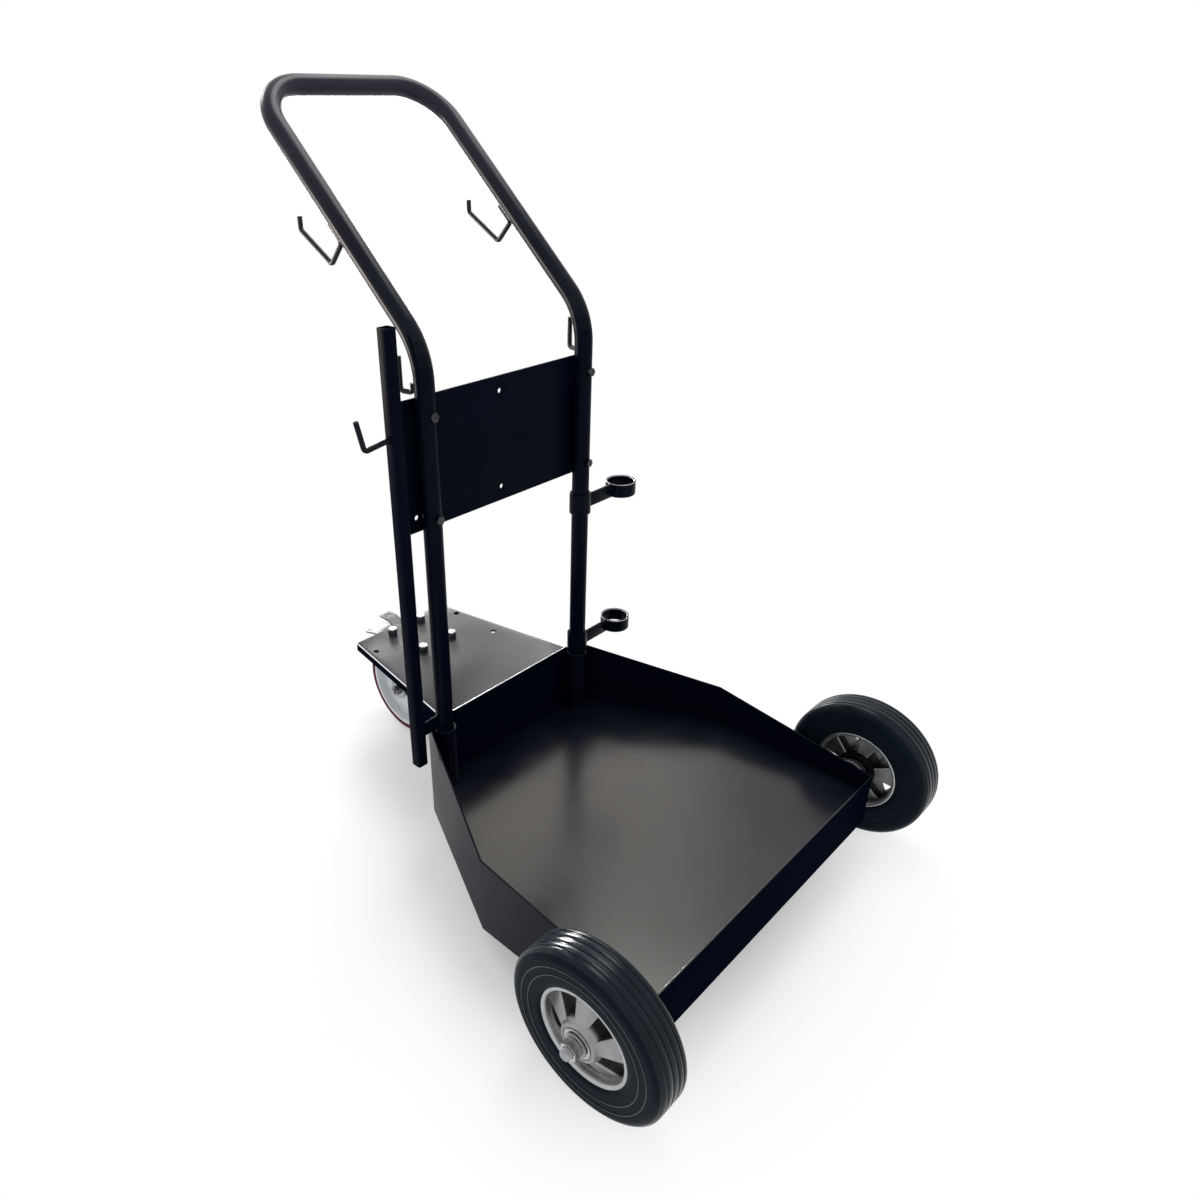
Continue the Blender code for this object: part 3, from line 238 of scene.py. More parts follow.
# Caster wheel
CASTER_CORE = [
    (0.0885, 0.0235),
    (0.0879, 0.0247),
    (0.0866, 0.0250),
    (0.0836, 0.0250),
    (0.0826, 0.0244),
    (0.0820, 0.0228),
    (0.0815, 0.0120),
    (0.0807, 0.0088),
    (0.0772, 0.0072),
    (0.0320, 0.0078),
    (0.0265, 0.0092),
    (0.0238, 0.0130),
    (0.0226, 0.0255),
    (0.0220, 0.0272),
    (0.0208, 0.0280),
    (0.0128, 0.0280),
]
CASTER_TREAD = [
    (0.0890, 0.0236),
    (0.0897, 0.0247),
    (0.0960, 0.0249),
    (0.0978, 0.0243),
    (0.0990, 0.0228),
    (0.0997, 0.0190),
    (0.1000, 0.0110),
    (0.1000, 0.0030),
]
BUSH_OUTER = 0.0125
BUSH_INNER = 0.0063
BUSH_HALF = 0.0280
BUSH_EDGE = 0.0006

# Welds
BEAD_RADIUS = 0.0017
BEAD_STEP = 0.0007
BEAD_WAVE = 1.6
BEAD_RIPPLE = 0.16
SOCKET_BEAD_SEAT = 0.001
HOOK_BEAD_SEAT = 0.0008
HOOK_BEAD_START = 0.010
POST_BEAD_SEAT = 0.0006
ARM_BEAD_MARGIN = 0.001

# Eased edges
SHEET_EASE = 0.0009
FITTING_EASE = 0.0008
PLATE_EASE = 0.0006
POST_EASE = 0.0004
FORK_EASE = 0.0010
SMALL_BOLT_EASE = 0.0006
CASTER_BOLT_EASE = 0.0009
AXLE_NUT_EASE = 0.0010
AXLE_NUT_SEGMENTS = 3
ROD_END_EASE = 0.0006

# Fineness of the round shapes
TUBE_SIDES = 14
ROD_SIDES = 5
BEAD_SIDES = 2
TUBE_BEND_STEPS = 24
ROD_BEND_STEPS = 8
SOCKET_BEAD_POINTS = 60
POST_BEAD_POINTS = 24
COLLAR_STEPS = 56
RING_STEPS = 72
TYRE_STEPS = 128
BARREL_STEPS = 112
HUB_STEPS = 72
BEARING_STEPS = 64
STUB_STEPS = 40
WASHER_STEPS = 48
CORE_STEPS = 96
CASTER_TREAD_STEPS = 112
BUSH_STEPS = 40

# Mesh work
MERGE_DISTANCE = 1e-6
EASE_ANGLE = math.radians(28)
SHARP_ANGLE = math.radians(34)
FLAT_ANGLE = math.radians(0.6)
X_TO_Z = Matrix.Rotation(-math.pi / 2, 4, "Y")
Z_TO_X = Matrix.Rotation(math.pi / 2, 3, "Y")
HALF_TURN = Matrix.Rotation(math.pi, 4, "Z")

# Which faces get a second finish, by normal and place; several of these second finishes are
# painted shade or painted highlights
FACES_UP = 0.7
FACES_FRONT = -0.98
FACES_INWARD = -0.25
WINDOW_WALL_TILT = 0.3
RING_CHAMFER_TILT = (0.5, 0.9)
PLATE_FOLD_TILT = (0.3, 0.95)
FRONT_EDGE_Y = -0.42
REAR_EDGE_Y = 0.125

# Noise of the finishes
BLOTCH_DETAIL = 4.0
BLOTCH_ROUGHNESS = 0.6
BLOTCH_COLOUR_STOPS = (0.35, 0.68)
BLOTCH_MIDDLE = (0.3, 0.7)
GRAIN_DETAIL = 2.0
GRAIN_ROUGHNESS = 0.5

# Surfaces: share of metal, scales of blotches and grain, the bump's strength and distance
Surface = namedtuple("Surface", "metallic blotch grain strength distance")
COAT = Surface(0.0, 9.0, 900.0, 0.06, 0.0003)
CAST = Surface(1.0, 40.0, 1100.0, 0.14, 0.0004)
TURNED_LIP = Surface(1.0, 40.0, 1100.0, 0.10, 0.0003)
FOLD = Surface(1.0, 60.0, 1500.0, 0.06, 0.0003)
PLATED = Surface(1.0, 60.0, 1500.0, 0.08, 0.0002)
DULL_PLATED = Surface(0.0, 60.0, 1500.0, 0.08, 0.0002)
TURNED = Surface(1.0, 80.0, 2000.0, 0.06, 0.0002)
RUBBER = Surface(0.0, 22.0, 700.0, 0.12, 0.0004)
WORN_TREAD = Surface(0.0, 22.0, 700.0, 0.05, 0.0002)
POLYURETHANE = Surface(0.0, 30.0, 600.0, 0.08, 0.0003)
MOULDED = Surface(0.0, 30.0, 900.0, 0.10, 0.0004)

# Colours, the dark and the light end of each finish's drift
BLACK = ((0.0013, 0.0027, 0.0084), (0.0022, 0.0039, 0.0105))
ROD_BLACK = ((0.0040, 0.0046, 0.0070), (0.0080, 0.0086, 0.0110))
RUBBER_BLACK = ((0.0045, 0.0090, 0.0140), (0.0065, 0.0122, 0.0185))
TREAD_BLACK = ((0.0045, 0.0088, 0.0135), (0.0070, 0.0125, 0.0185))
# Painted highlight: a pale grey on the fine rings of the tyres' outer sidewalls
RING_HIGHLIGHT_GREY = ((0.075, 0.080, 0.088), (0.115, 0.120, 0.130))
CAST_GREY = ((0.24, 0.247, 0.253), (0.34, 0.347, 0.354))
# Painted shade: darker cast aluminium on the faces of the rims that look towards the tray
CAST_INNER_SHADE_GREY = ((0.190, 0.195, 0.205), (0.270, 0.276, 0.288))
# Painted shade on the walls of the rims' windows: less dark on the outer half, near black on the
# inner half
CAST_WINDOW_SHADE_GREY = ((0.070, 0.075, 0.076), (0.110, 0.116, 0.118))
CAST_SHADE_GREY = ((0.007, 0.008, 0.010), (0.013, 0.014, 0.017))
CAST_LIP_GREY = ((0.37, 0.38, 0.39), (0.47, 0.48, 0.49))
# Painted highlight: a pale metal on the chamfers of the rings and the top of the tray's rear wall
EDGE_HIGHLIGHT_GREY = ((0.30, 0.31, 0.33), (0.46, 0.47, 0.49))
# Painted highlight: a very pale metal on the folds of the rear plate
FOLD_HIGHLIGHT_GREY = ((0.70, 0.71, 0.73), (0.85, 0.86, 0.88))
# Painted shade: a dark steel for the panel's bolts and nuts, the inner bearings and the wheel
# spacers
BOLT_SHADE_GREY = ((0.030, 0.031, 0.036), (0.070, 0.072, 0.080))
ZINC_GREY = ((0.24, 0.246, 0.258), (0.36, 0.366, 0.378))
DULL_ZINC_GREY = ((0.17, 0.175, 0.181), (0.24, 0.246, 0.253))
STEEL_GREY = ((0.42, 0.42, 0.43), (0.60, 0.60, 0.61))
TREAD_RED = ((0.075, 0.004, 0.016), (0.105, 0.007, 0.024))
CORE_GREY = ((0.63, 0.65, 0.68), (0.72, 0.74, 0.77))
# Painted reflection: a warm tint on the gloss coat's reflections
WARM_REFLECTION_TINT = (1.0, 0.98, 0.90)
# Painted sheen: the handle tube's colour goes paler towards its top
TUBE_PAINTED_SHEEN = (0.92, 1.19, (0.019, 0.019, 0.030))  # from height, to height, colour

# Specular levels that differ from their finish: the rear plate, and the handle's
# uprights below each height (name, height, level)
PLATE_LEVEL = 0.25
UPRIGHT_COATS = (
    ("upright_coat_high", 0.880, 0.085),
    ("upright_coat_middle", 0.865, 0.055),
    ("upright_coat_low", 0.845, 0.030),
)

# Pieces, by how their names start, whose finish isn't that of their slot
SPECIAL_FINISHES = {
    "smooth_coat": ("tray_floor",),
    "plate_coat": ("rear_plate",),
    "tube_coat": ("handle_tube", "post_hook", "upright_socket"),
    "rod_coat": ("handle_hook", "cable_hook"),
    "matt_coat": ("back_panel", "accessory_post", "post_bracket"),
    # painted shade: dark steel on bolts, nuts, inner bearings and spacers
    "dark_bolt": ("panel_bolt", "panel_nut", "bearing_inner", "wheel_spacer"),
    "dull_zinc": ("brake_pedal",),
    "steel": ("axle_nut",),
    "zinc": ("axle_stub",),
}

# Floor, world and lights
WHITE = (1.0, 1.0, 1.0)
WARM = (1.0, 0.91, 0.82)
AMBER = (1.0, 0.86, 0.74)
FLOOR_REACH = 30.0
FLOOR_DROP = 0.0005
FLOOR_COLOUR = (0.97, 0.97, 0.97)
FLOOR_ROUGHNESS = 0.9
FLOOR_LEVEL = 0.1
FADE_START = 0.34
FADE_END = 0.74
FADE_LEAST = 0.30
WORLD_GREY = (0.66, 0.66, 0.665)
TRAY_AIM = (0, -0.1, 0.15)
LIGHTS = (  # name, place, aim, size, watts, colour, spread in degrees
    ("key_light", (0.80, 0.35, 2.85), TRAY_AIM, (1.1, 1.4), 34.0, WHITE, 180),
    ("back_light", (1.68, 1.47, 2.08), TRAY_AIM, (1.5, 1.7), 11.5, WARM, 180),
    ("low_light", (1.45, 2.25, 0.72), (-0.3, -0.4, 0.2), (1.6, 0.8), 32.0, WHITE, 180),
    ("left_light", (-1.15, 1.85, 0.60), (-0.05, 0.2, 1.0), (0.9, 0.7), 1.6, AMBER, 36),
    ("tread_light", (0.95, 1.75, 0.64), (-0.385, -0.35, 0.25), (0.6, 0.4), 1.0, WHITE, 14),
    ("edge_light", (-0.05, 1.85, 1.80), (-0.15, 0.25, 0.24), (0.5, 0.5), 6.0, WHITE, 180),
)


def node_tools(material):
    """The material's node tree and its shader."""
    material.use_nodes = True
    tree = material.node_tree
    return tree, tree.nodes["Principled BSDF"]


def noise(tree, scale, detail, roughness):
    """A noise texture in object metres."""
    place = tree.nodes.new("ShaderNodeTexCoord")
    texture = tree.nodes.new("ShaderNodeTexNoise")
    texture.inputs["Scale"].default_value = scale
    texture.inputs["Detail"].default_value = detail
    texture.inputs["Roughness"].default_value = roughness
    tree.links.new(place.outputs["Object"], texture.inputs["Vector"])
    return texture.outputs["Fac"]


def drift(tree, source, colours):
    """The source as a drift between two colours."""
    node = tree.nodes.new("ShaderNodeValToRGB")
    for element, position, colour in zip(node.color_ramp.elements, BLOTCH_COLOUR_STOPS, colours):
        element.position = position
        element.color = (*colour, 1.0)
    tree.links.new(source, node.inputs["Fac"])
    return node.outputs["Color"]


def between(tree, source, low, high):
    """The source's middle range mapped onto low to high."""
    node = tree.nodes.new("ShaderNodeMapRange")
    node.inputs["From Min"].default_value = BLOTCH_MIDDLE[0]
    node.inputs["From Max"].default_value = BLOTCH_MIDDLE[1]
    node.inputs["To Min"].default_value = low
    node.inputs["To Max"].default_value = high
    tree.links.new(source, node.inputs["Value"])
    return node.outputs["Result"]


def bump(tree, source, strength, distance):
    """The source as relief."""
    node = tree.nodes.new("ShaderNodeBump")
    node.inputs["Strength"].default_value = strength
    node.inputs["Distance"].default_value = distance
    tree.links.new(source, node.inputs["Height"])
    return node.outputs["Normal"]


def painted_sheen_above(tree, colour, low, high, pale):
    """The colour, going over to a paler one between two heights: a painted sheen."""
    place = tree.nodes.new("ShaderNodeTexCoord")
    axes = tree.nodes.new("ShaderNodeSeparateXYZ")
    share = tree.nodes.new("ShaderNodeMapRange")
    share.interpolation_type = "SMOOTHSTEP"
    share.inputs["From Min"].default_value = low
    share.inputs["From Max"].default_value = high
    blend = tree.nodes.new("ShaderNodeMix")
    blend.data_type = "RGBA"
    blend.inputs["B"].default_value = (*pale, 1.0)
    tree.links.new(place.outputs["Object"], axes.inputs["Vector"])
    tree.links.new(axes.outputs["Z"], share.inputs["Value"])
    tree.links.new(share.outputs["Result"], blend.inputs["Factor"])
    tree.links.new(colour, blend.inputs["A"])
    return blend.outputs["Result"]


def finish(name, colours, rough, surface, level=0.5, tint=None, paler=None):
    """A finish whose colour and roughness drift, with a fine grain in its surface."""
    material = bpy.data.materials.new(name)
    tree, shader = node_tools(material)
    patches = noise(tree, surface.blotch, BLOTCH_DETAIL, BLOTCH_ROUGHNESS)
    colour = drift(tree, patches, colours)
    if paler:
        colour = painted_sheen_above(tree, colour, *paler)
    if tint:
        shader.inputs["Specular Tint"].default_value = (*tint, 1.0)
    tree.links.new(colour, shader.inputs["Base Color"])
    fine = noise(tree, surface.grain, GRAIN_DETAIL, GRAIN_ROUGHNESS)
    relief = bump(tree, fine, surface.strength, surface.distance)
    tree.links.new(between(tree, patches, *rough), shader.inputs["Roughness"])
    tree.links.new(relief, shader.inputs["Normal"])
    shader.inputs["Metallic"].default_value = surface.metallic
    shader.inputs["Specular IOR Level"].default_value = level
    return material


FINISHES = {
    "black_coat": finish("black_powder_coat", BLACK, (0.20, 0.28), COAT, 0.04),
    # painted sheen: paler towards the top of the handle
    "tube_coat": finish("black_tube_coat", BLACK, (0.22, 0.30), COAT, 0.12, paler=TUBE_PAINTED_SHEEN),
    "rod_coat": finish("black_rod_coat", ROD_BLACK, (0.20, 0.30), COAT, 0.24),
    "matt_coat": finish("black_matt_coat", BLACK, (0.26, 0.34), COAT, 0.014),
    "dull_coat": finish("black_dull_coat", BLACK, (0.42, 0.52), COAT, 0.0003),
    # painted reflection: warm tint on the tray floor's reflections
    "smooth_coat": finish("black_gloss_coat", BLACK, (0.20, 0.28), COAT, tint=WARM_REFLECTION_TINT),
    # painted highlight on thin edges
    "worn_edge": finish("worn_fold", EDGE_HIGHLIGHT_GREY, (0.28, 0.40), FOLD),
    # painted highlight on the rear plate's folds
    "bright_edge": finish("bright_fold", FOLD_HIGHLIGHT_GREY, (0.28, 0.40), FOLD),
    "cast_rim": finish("cast_aluminium", CAST_GREY, (0.32, 0.44), CAST),
    # painted shade on the rims' inner faces
    "cast_inner": finish("rough_cast_aluminium", CAST_INNER_SHADE_GREY, (0.40, 0.52), CAST),
    # painted shade on the outer half of the window walls
    "cast_window": finish("shaded_cast_aluminium", CAST_WINDOW_SHADE_GREY, (0.44, 0.56), CAST),
    "cast_shade": finish("dark_cast_aluminium", CAST_SHADE_GREY, (0.44, 0.56), CAST),
    "cast_lip": finish("turned_cast_lip", CAST_LIP_GREY, (0.28, 0.38), TURNED_LIP),
    "rubber_tyre": finish("black_rubber", RUBBER_BLACK, (0.28, 0.36), RUBBER, 0.025),
    "tread_rubber": finish("worn_tread_rubber", TREAD_BLACK, (0.17, 0.24), WORN_TREAD, 0.13),
    # painted highlight on the tyres' sidewall rings
    "worn_rubber": finish("worn_rubber", RING_HIGHLIGHT_GREY, (0.50, 0.62), RUBBER, 0.1),
    # painted shade on bolts, nuts, inner bearings and spacers
    "dark_bolt": finish("darkened_steel", BOLT_SHADE_GREY, (0.22, 0.34), PLATED),
    "zinc": finish("zinc_plate", ZINC_GREY, (0.20, 0.34), PLATED),
    "dull_zinc": finish("dull_zinc_plate", DULL_ZINC_GREY, (0.46, 0.58), DULL_PLATED, 0.12),
    "steel": finish("turned_steel", STEEL_GREY, (0.22, 0.36), TURNED),
    "red_tread": finish("red_polyurethane", TREAD_RED, (0.34, 0.46), POLYURETHANE, 0.06),
    "pale_core": finish("pale_cast_core", CORE_GREY, (0.36, 0.48), MOULDED),
}


def duller(finish_name, level):
    """A copy of a finish with another specular level."""
    copy = FINISHES[finish_name].copy()
    shader = copy.node_tree.nodes["Principled BSDF"]
    shader.inputs["Specular IOR Level"].default_value = level
    return copy


FINISHES["plate_coat"] = duller("smooth_coat", PLATE_LEVEL)
for coat, _, coat_level in UPRIGHT_COATS:
    FINISHES[coat] = duller("tube_coat", coat_level)


def finish_of(node):
    """The finish of a solid: a special one, or else that of its slot."""
    for special, starts in SPECIAL_FINISHES.items():
        if node.startswith(starts):
            return FINISHES[special]
    return FINISHES[SLOT_OF[node]]


for node_name, item in NODES.items():
    item.data.materials.clear()
    item.data.materials.append(finish_of(node_name))


def new_piece(name, mesh, body, slot):
    """A piece that rides on a body, in its slot's finish."""
    piece = bpy.data.objects.new(name, mesh)
    bpy.context.scene.collection.objects.link(piece)
    mesh.materials.clear()
    mesh.materials.append(FINISHES[slot])
    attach(piece, body)
    return piece


def stand_in(node, mesh, tail="_fine"):
    """A finer piece in the place of one solid."""
    piece = new_piece(node + tail, mesh, BODY_OF[node], SLOT_OF[node])
    piece.data.materials[0] = finish_of(node)
    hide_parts(node)
    return piece


def repaint(piece, special, chosen):
    """A second finish on the faces whose centre and normal are chosen."""
    mesh = piece.data
    mesh.materials.append(FINISHES[special])
    for face in mesh.polygons:
        if chosen(face.center, face.normal):
            face.material_index = len(mesh.materials) - 1


def ease(piece, width, segments=2):
    """Eased edges on a piece."""
    step = piece.modifiers.new("ease", "BEVEL")
    step.width = width
    step.segments = segments
    step.limit_method = "ANGLE"
    step.angle_limit = EASE_ANGLE
    step.harden_normals = True
    return piece


def settle(work, name, angle=SHARP_ANGLE):
    """The finished mesh of a piece, smooth but for its sharp edges."""
    for face in work.faces:
        face.smooth = True
    mesh = bpy.data.meshes.new(name)
    work.to_mesh(mesh)
    work.free()
    mesh.set_sharp_from_angle(angle=angle)
    return mesh


def plain_copy(node):
    """A solid's mesh with its flat faces whole again."""
    source = NODES[node].data
    work = bmesh.new()
    points = [work.verts.new(point.co) for point in source.vertices]
    for polygon in source.polygons:
        work.faces.new([points[index] for index in polygon.vertices])
    bmesh.ops.remove_doubles(work, verts=work.verts, dist=MERGE_DISTANCE)
    bmesh.ops.dissolve_limit(
        work, angle_limit=FLAT_ANGLE, verts=work.verts, edges=work.edges, delimit={"NORMAL"}
    )
    return settle(work, node)


def eased(node, width, segments=2):
    """A copy of a solid with its edges eased, in the solid's place."""
    return ease(stand_in(node, plain_copy(node), "_eased"), width, segments)


def joined(name, *meshes):
    """Several meshes as one."""
    work = bmesh.new()
    for mesh in meshes:
        work.from_mesh(mesh)
    return settle(work, name)


def shifted(mesh, place):
    """A copy of a mesh, moved."""
    copy = mesh.copy()
    copy.transform(Matrix.Translation(place))
    return copy


def turned(name, section, steps, turn=None):
    """A closed section of (radius, along) points swept around the X axis."""
    work = bmesh.new()
    rings = []
    for step in range(steps):
        angle = 2 * math.pi * step / steps
        rings.append(
            [
                work.verts.new((along, radius * math.cos(angle), radius * math.sin(angle)))
                for radius, along in section
            ]
        )
    for step, ring in enumerate(rings):
        after = rings[(step + 1) % steps]
        for index in range(len(section)):
            follow = (index + 1) % len(section)
            work.faces.new((ring[index], ring[follow], after[follow], after[index]))
    bmesh.ops.remove_doubles(work, verts=work.verts, dist=MERGE_DISTANCE)
    bmesh.ops.recalc_face_normals(work, faces=work.faces)
    if turn:
        bmesh.ops.transform(work, matrix=turn, verts=work.verts)
    return settle(work, name)


def ring_section(outer, inner, low, high, edge):
    """A ring's section with its four edges broken."""
    return [
        (outer - edge, high),
        (outer, high - edge),
        (outer, low + edge),
        (outer - edge, low),
        (inner + edge, low),
        (inner, low + edge),
        (inner, high - edge),
        (inner + edge, high),
    ]


def mirrored(half):
    """A half section of (radius, along) points and its mirror image across along = 0."""
    return half + [(radius, -along) for radius, along in reversed(half)]


def bent(points, radii, steps):
    """A path whose inner corners are rounded to the given radii."""
    points = [Vector(point) for point in points]
    path = []
    for index, point in enumerate(points):
        radius = radii[index]
        if not radius:
            path.append(point)
            continue
        before = (points[index - 1] - point).normalized()
        after = (points[index + 1] - point).normalized()
        half = before.angle(after) / 2
        middle = point + (before + after).normalized() * radius / math.sin(half)
        start = point + before * radius / math.tan(half) - middle
        end = point + after * radius / math.tan(half) - middle
        turn = start.angle(end)
        for step in range(steps + 1):
            share = step / steps
            along_start = math.sin(turn * (1 - share)) / math.sin(turn)
            along_end = math.sin(turn * share) / math.sin(turn)
            path.append(middle + start * along_start + end * along_end)
    return path


def bar(name, path, radius, sides, closed=False, ripple=0.0):
    """A round bar along a path; a ripple makes it swell and shrink point by point."""
    curve = bpy.data.curves.new(name, "CURVE")
    curve.dimensions = "3D"
    curve.bevel_depth = radius
    curve.bevel_resolution = sides
    curve.use_fill_caps = not closed
    spline = curve.splines.new("POLY")
    spline.points.add(len(path) - 1)
    spline.use_cyclic_u = closed
    for index, (point, place) in enumerate(zip(spline.points, path)):
        point.co = (*place, 1)
        point.radius = 1 + ripple * math.sin(BEAD_WAVE * index)
    holder = bpy.data.objects.new(name, curve)
    bpy.context.scene.collection.objects.link(holder)
    bpy.context.view_layer.update()
    graph = bpy.context.evaluated_depsgraph_get()
    mesh = bpy.data.meshes.new_from_object(holder.evaluated_get(graph))
    bpy.data.objects.remove(holder, do_unlink=True)
    bpy.data.curves.remove(curve)
    work = bmesh.new()
    work.from_mesh(mesh)
    bmesh.ops.remove_doubles(work, verts=work.verts, dist=MERGE_DISTANCE)
    bmesh.ops.recalc_face_normals(work, faces=work.faces)
    return settle(work, name)


def rod(name, path):
    """A bent rod with eased ends, in a solid's place."""
    ease(stand_in(name, bar(name, path, ROD_RADIUS, ROD_SIDES)), ROD_END_EASE)


def weld(name, path, closed=False):
    """A rippled bead of weld under the coat, on the frame."""
    mesh = bar(name, path, BEAD_RADIUS, BEAD_SIDES, closed, BEAD_RIPPLE)
    new_piece(name, mesh, "frame", "black_coat")


def run(start, end):
    """Points from start to end, about a bead's step apart."""
    start, end = Vector(start), Vector(end)
    count = max(2, round((end - start).length / BEAD_STEP))
    return [start.lerp(end, step / count) for step in range(count + 1)]


def loop(centre, radius, count, turn=Matrix.Identity(3)):
    """Points round a circle that lies flat until it is turned."""
    angles = [2 * math.pi * step / count for step in range(count)]
    return [
        Vector(centre) + turn @ Vector((radius * math.cos(angle), radius * math.sin(angle), 0))
        for angle in angles
    ]


def build_handle():
    """The bent tube, its two sockets and their welds."""
    bar_y = UPRIGHT_Y + LEG_LENGTH * math.sin(LEG_ANGLE)
    bar_z = BEND_Z + LEG_LENGTH * math.cos(LEG_ANGLE)
    left = [
        (-UPRIGHT_X, UPRIGHT_Y, FLOOR_Z + GAP),
        (-UPRIGHT_X, UPRIGHT_Y, BEND_Z),
        (-UPRIGHT_X, bar_y, bar_z),
    ]
    right = [(-across, along, height) for across, along, height in reversed(left)]
    bends = [0, LOWER_BEND, CORNER_BEND, CORNER_BEND, LOWER_BEND, 0]
    path = bent(left + right, bends, TUBE_BEND_STEPS)
    tube = stand_in("handle_tube", bar("handle_tube", path, TUBE_RADIUS, TUBE_SIDES))
    for coat, top, _ in UPRIGHT_COATS:
        repaint(tube, coat, lambda place, normal: place.z < top)
    low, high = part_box("upright_socket_left")
    section = ring_section(COLLAR_RADIUS, TUBE_RADIUS + GAP, low.z, high.z, COLLAR_EDGE)
    for side, label in SIDES:
        spot = Matrix.Translation((side * UPRIGHT_X, UPRIGHT_Y, 0))
        stand_in("upright_socket_" + label, turned("socket", section, COLLAR_STEPS, spot @ X_TO_Z))
        foot = (side * UPRIGHT_X, UPRIGHT_Y, FLOOR_Z + SOCKET_BEAD_SEAT)
        bead = loop(foot, COLLAR_RADIUS + SOCKET_BEAD_SEAT, SOCKET_BEAD_POINTS)
        weld("socket_weld_" + label, bead, True)


def build_handle_hooks():
    """The rod hooks under the handle's legs, each with two beads of weld."""
    along_leg = Vector((0, math.sin(LEG_ANGLE), math.cos(LEG_ANGLE)))
    from_leg = Vector((0, math.cos(LEG_ANGLE), -math.sin(LEG_ANGLE)))
    arm = along_leg * math.cos(HANDLE_HOOK_SPREAD) + from_leg * math.sin(HANDLE_HOOK_SPREAD)
    joint = from_leg * (TUBE_RADIUS + ROD_RADIUS + GAP)
    low = joint + from_leg * HANDLE_HOOK_DROP
    end = low + arm * HANDLE_HOOK_ARM
    tip = end + Vector((0, 0, HANDLE_HOOK_TIP))
    points = [joint + along_leg * HANDLE_HOOK_WELD, joint, low, end, tip]
    bends = [0] + [HANDLE_HOOK_BEND] * 3 + [0]
    start = Vector((0, UPRIGHT_Y, BEND_Z)) + along_leg * HANDLE_HOOK_START
    for side, label in SIDES:
        spot = start + Vector((side * UPRIGHT_X, 0, 0))
        path = bent([spot + point for point in points], bends, ROD_BEND_STEPS)
        rod("handle_hook_" + label, path)
        for edge in (-1, 1):
            aside = Vector((edge * ROD_RADIUS, 0, 0)) + from_leg * (TUBE_RADIUS + HOOK_BEAD_SEAT)
            first = spot + aside + along_leg * HOOK_BEAD_START
            last = spot + aside + along_leg * HANDLE_HOOK_WELD
            tag = "_outer" if edge == side else "_inner"
            weld("hook_weld_" + label + tag, run(first, last))


def build_cable_hooks():
    """The small rod hooks behind the uprights."""
    seat = TUBE_RADIUS + ROD_RADIUS + GAP
    top = BEND_Z - LOWER_BEND * math.tan(LEG_ANGLE / 2)
    bends = [0, CABLE_HOOK_BEND, CABLE_HOOK_BEND, 0]
    for side, label in SIDES:
        across = side * (UPRIGHT_X + seat * math.sin(CABLE_HOOK_TURN))
        behind = UPRIGHT_Y + seat * math.cos(CABLE_HOOK_TURN)
        outer = across + side * CABLE_HOOK_OUT
        back = behind + CABLE_HOOK_BACK
        points = [
            (across, behind, top),
            (across, behind, CABLE_HOOK_BOTTOM),
            (outer, back, CABLE_HOOK_BOTTOM),
            (outer, back, CABLE_HOOK_TOP),
        ]
        rod("cable_hook_" + label, bent(points, bends, ROD_BEND_STEPS))


def build_post_hook():
    """The rod hook on the accessory post and its weld."""
    tilt = math.atan2(POST_HOOK_DROP, POST_HOOK_REACH)
    root = POST.x - POST_HALF - GAP - ROD_RADIUS * math.sin(tilt)
    corner = root - POST_HOOK_REACH
    low = POST_HOOK_Z - POST_HOOK_DROP
    points = [
        (root, POST.y, POST_HOOK_Z),
        (corner, POST.y, low),
        (corner - POST_HOOK_LEAN, POST.y, low + POST_HOOK_RISE),
    ]
    rod("post_hook", bent(points, [0, POST_HOOK_BEND, 0], ROD_BEND_STEPS))
    spot = (POST.x - POST_HALF - POST_BEAD_SEAT, POST.y, POST_HOOK_Z)
    bead = loop(spot, ROD_RADIUS + POST_BEAD_SEAT, POST_BEAD_POINTS, Z_TO_X)
    weld("post_hook_weld", bead, True)


def arm_mesh(first, last, top):
    """A ring holder's flat arm, from the collar to the ring, its edges rounded."""
    work = bmesh.new()
    size = (last - first, ARM_THICKNESS, RING_HEIGHT)
    middle = ((first + last) / 2, UPRIGHT_Y, top - RING_HEIGHT / 2)
    shape = Matrix.Translation(middle) @ Matrix.Diagonal((*size, 1))
    bmesh.ops.create_cube(work, size=1, matrix=shape)
    bmesh.ops.bevel(
        work, geom=work.edges[:], offset=ARM_EASE, segments=2, profile=0.5, affect="EDGES"
    )
    return settle(work, "arm")


def on_ring_chamfer(place, normal):
    low, high = RING_CHAMFER_TILT
    return low < normal.z < high and place.x > UPRIGHT_X + RING_REACH - RING_RADIUS


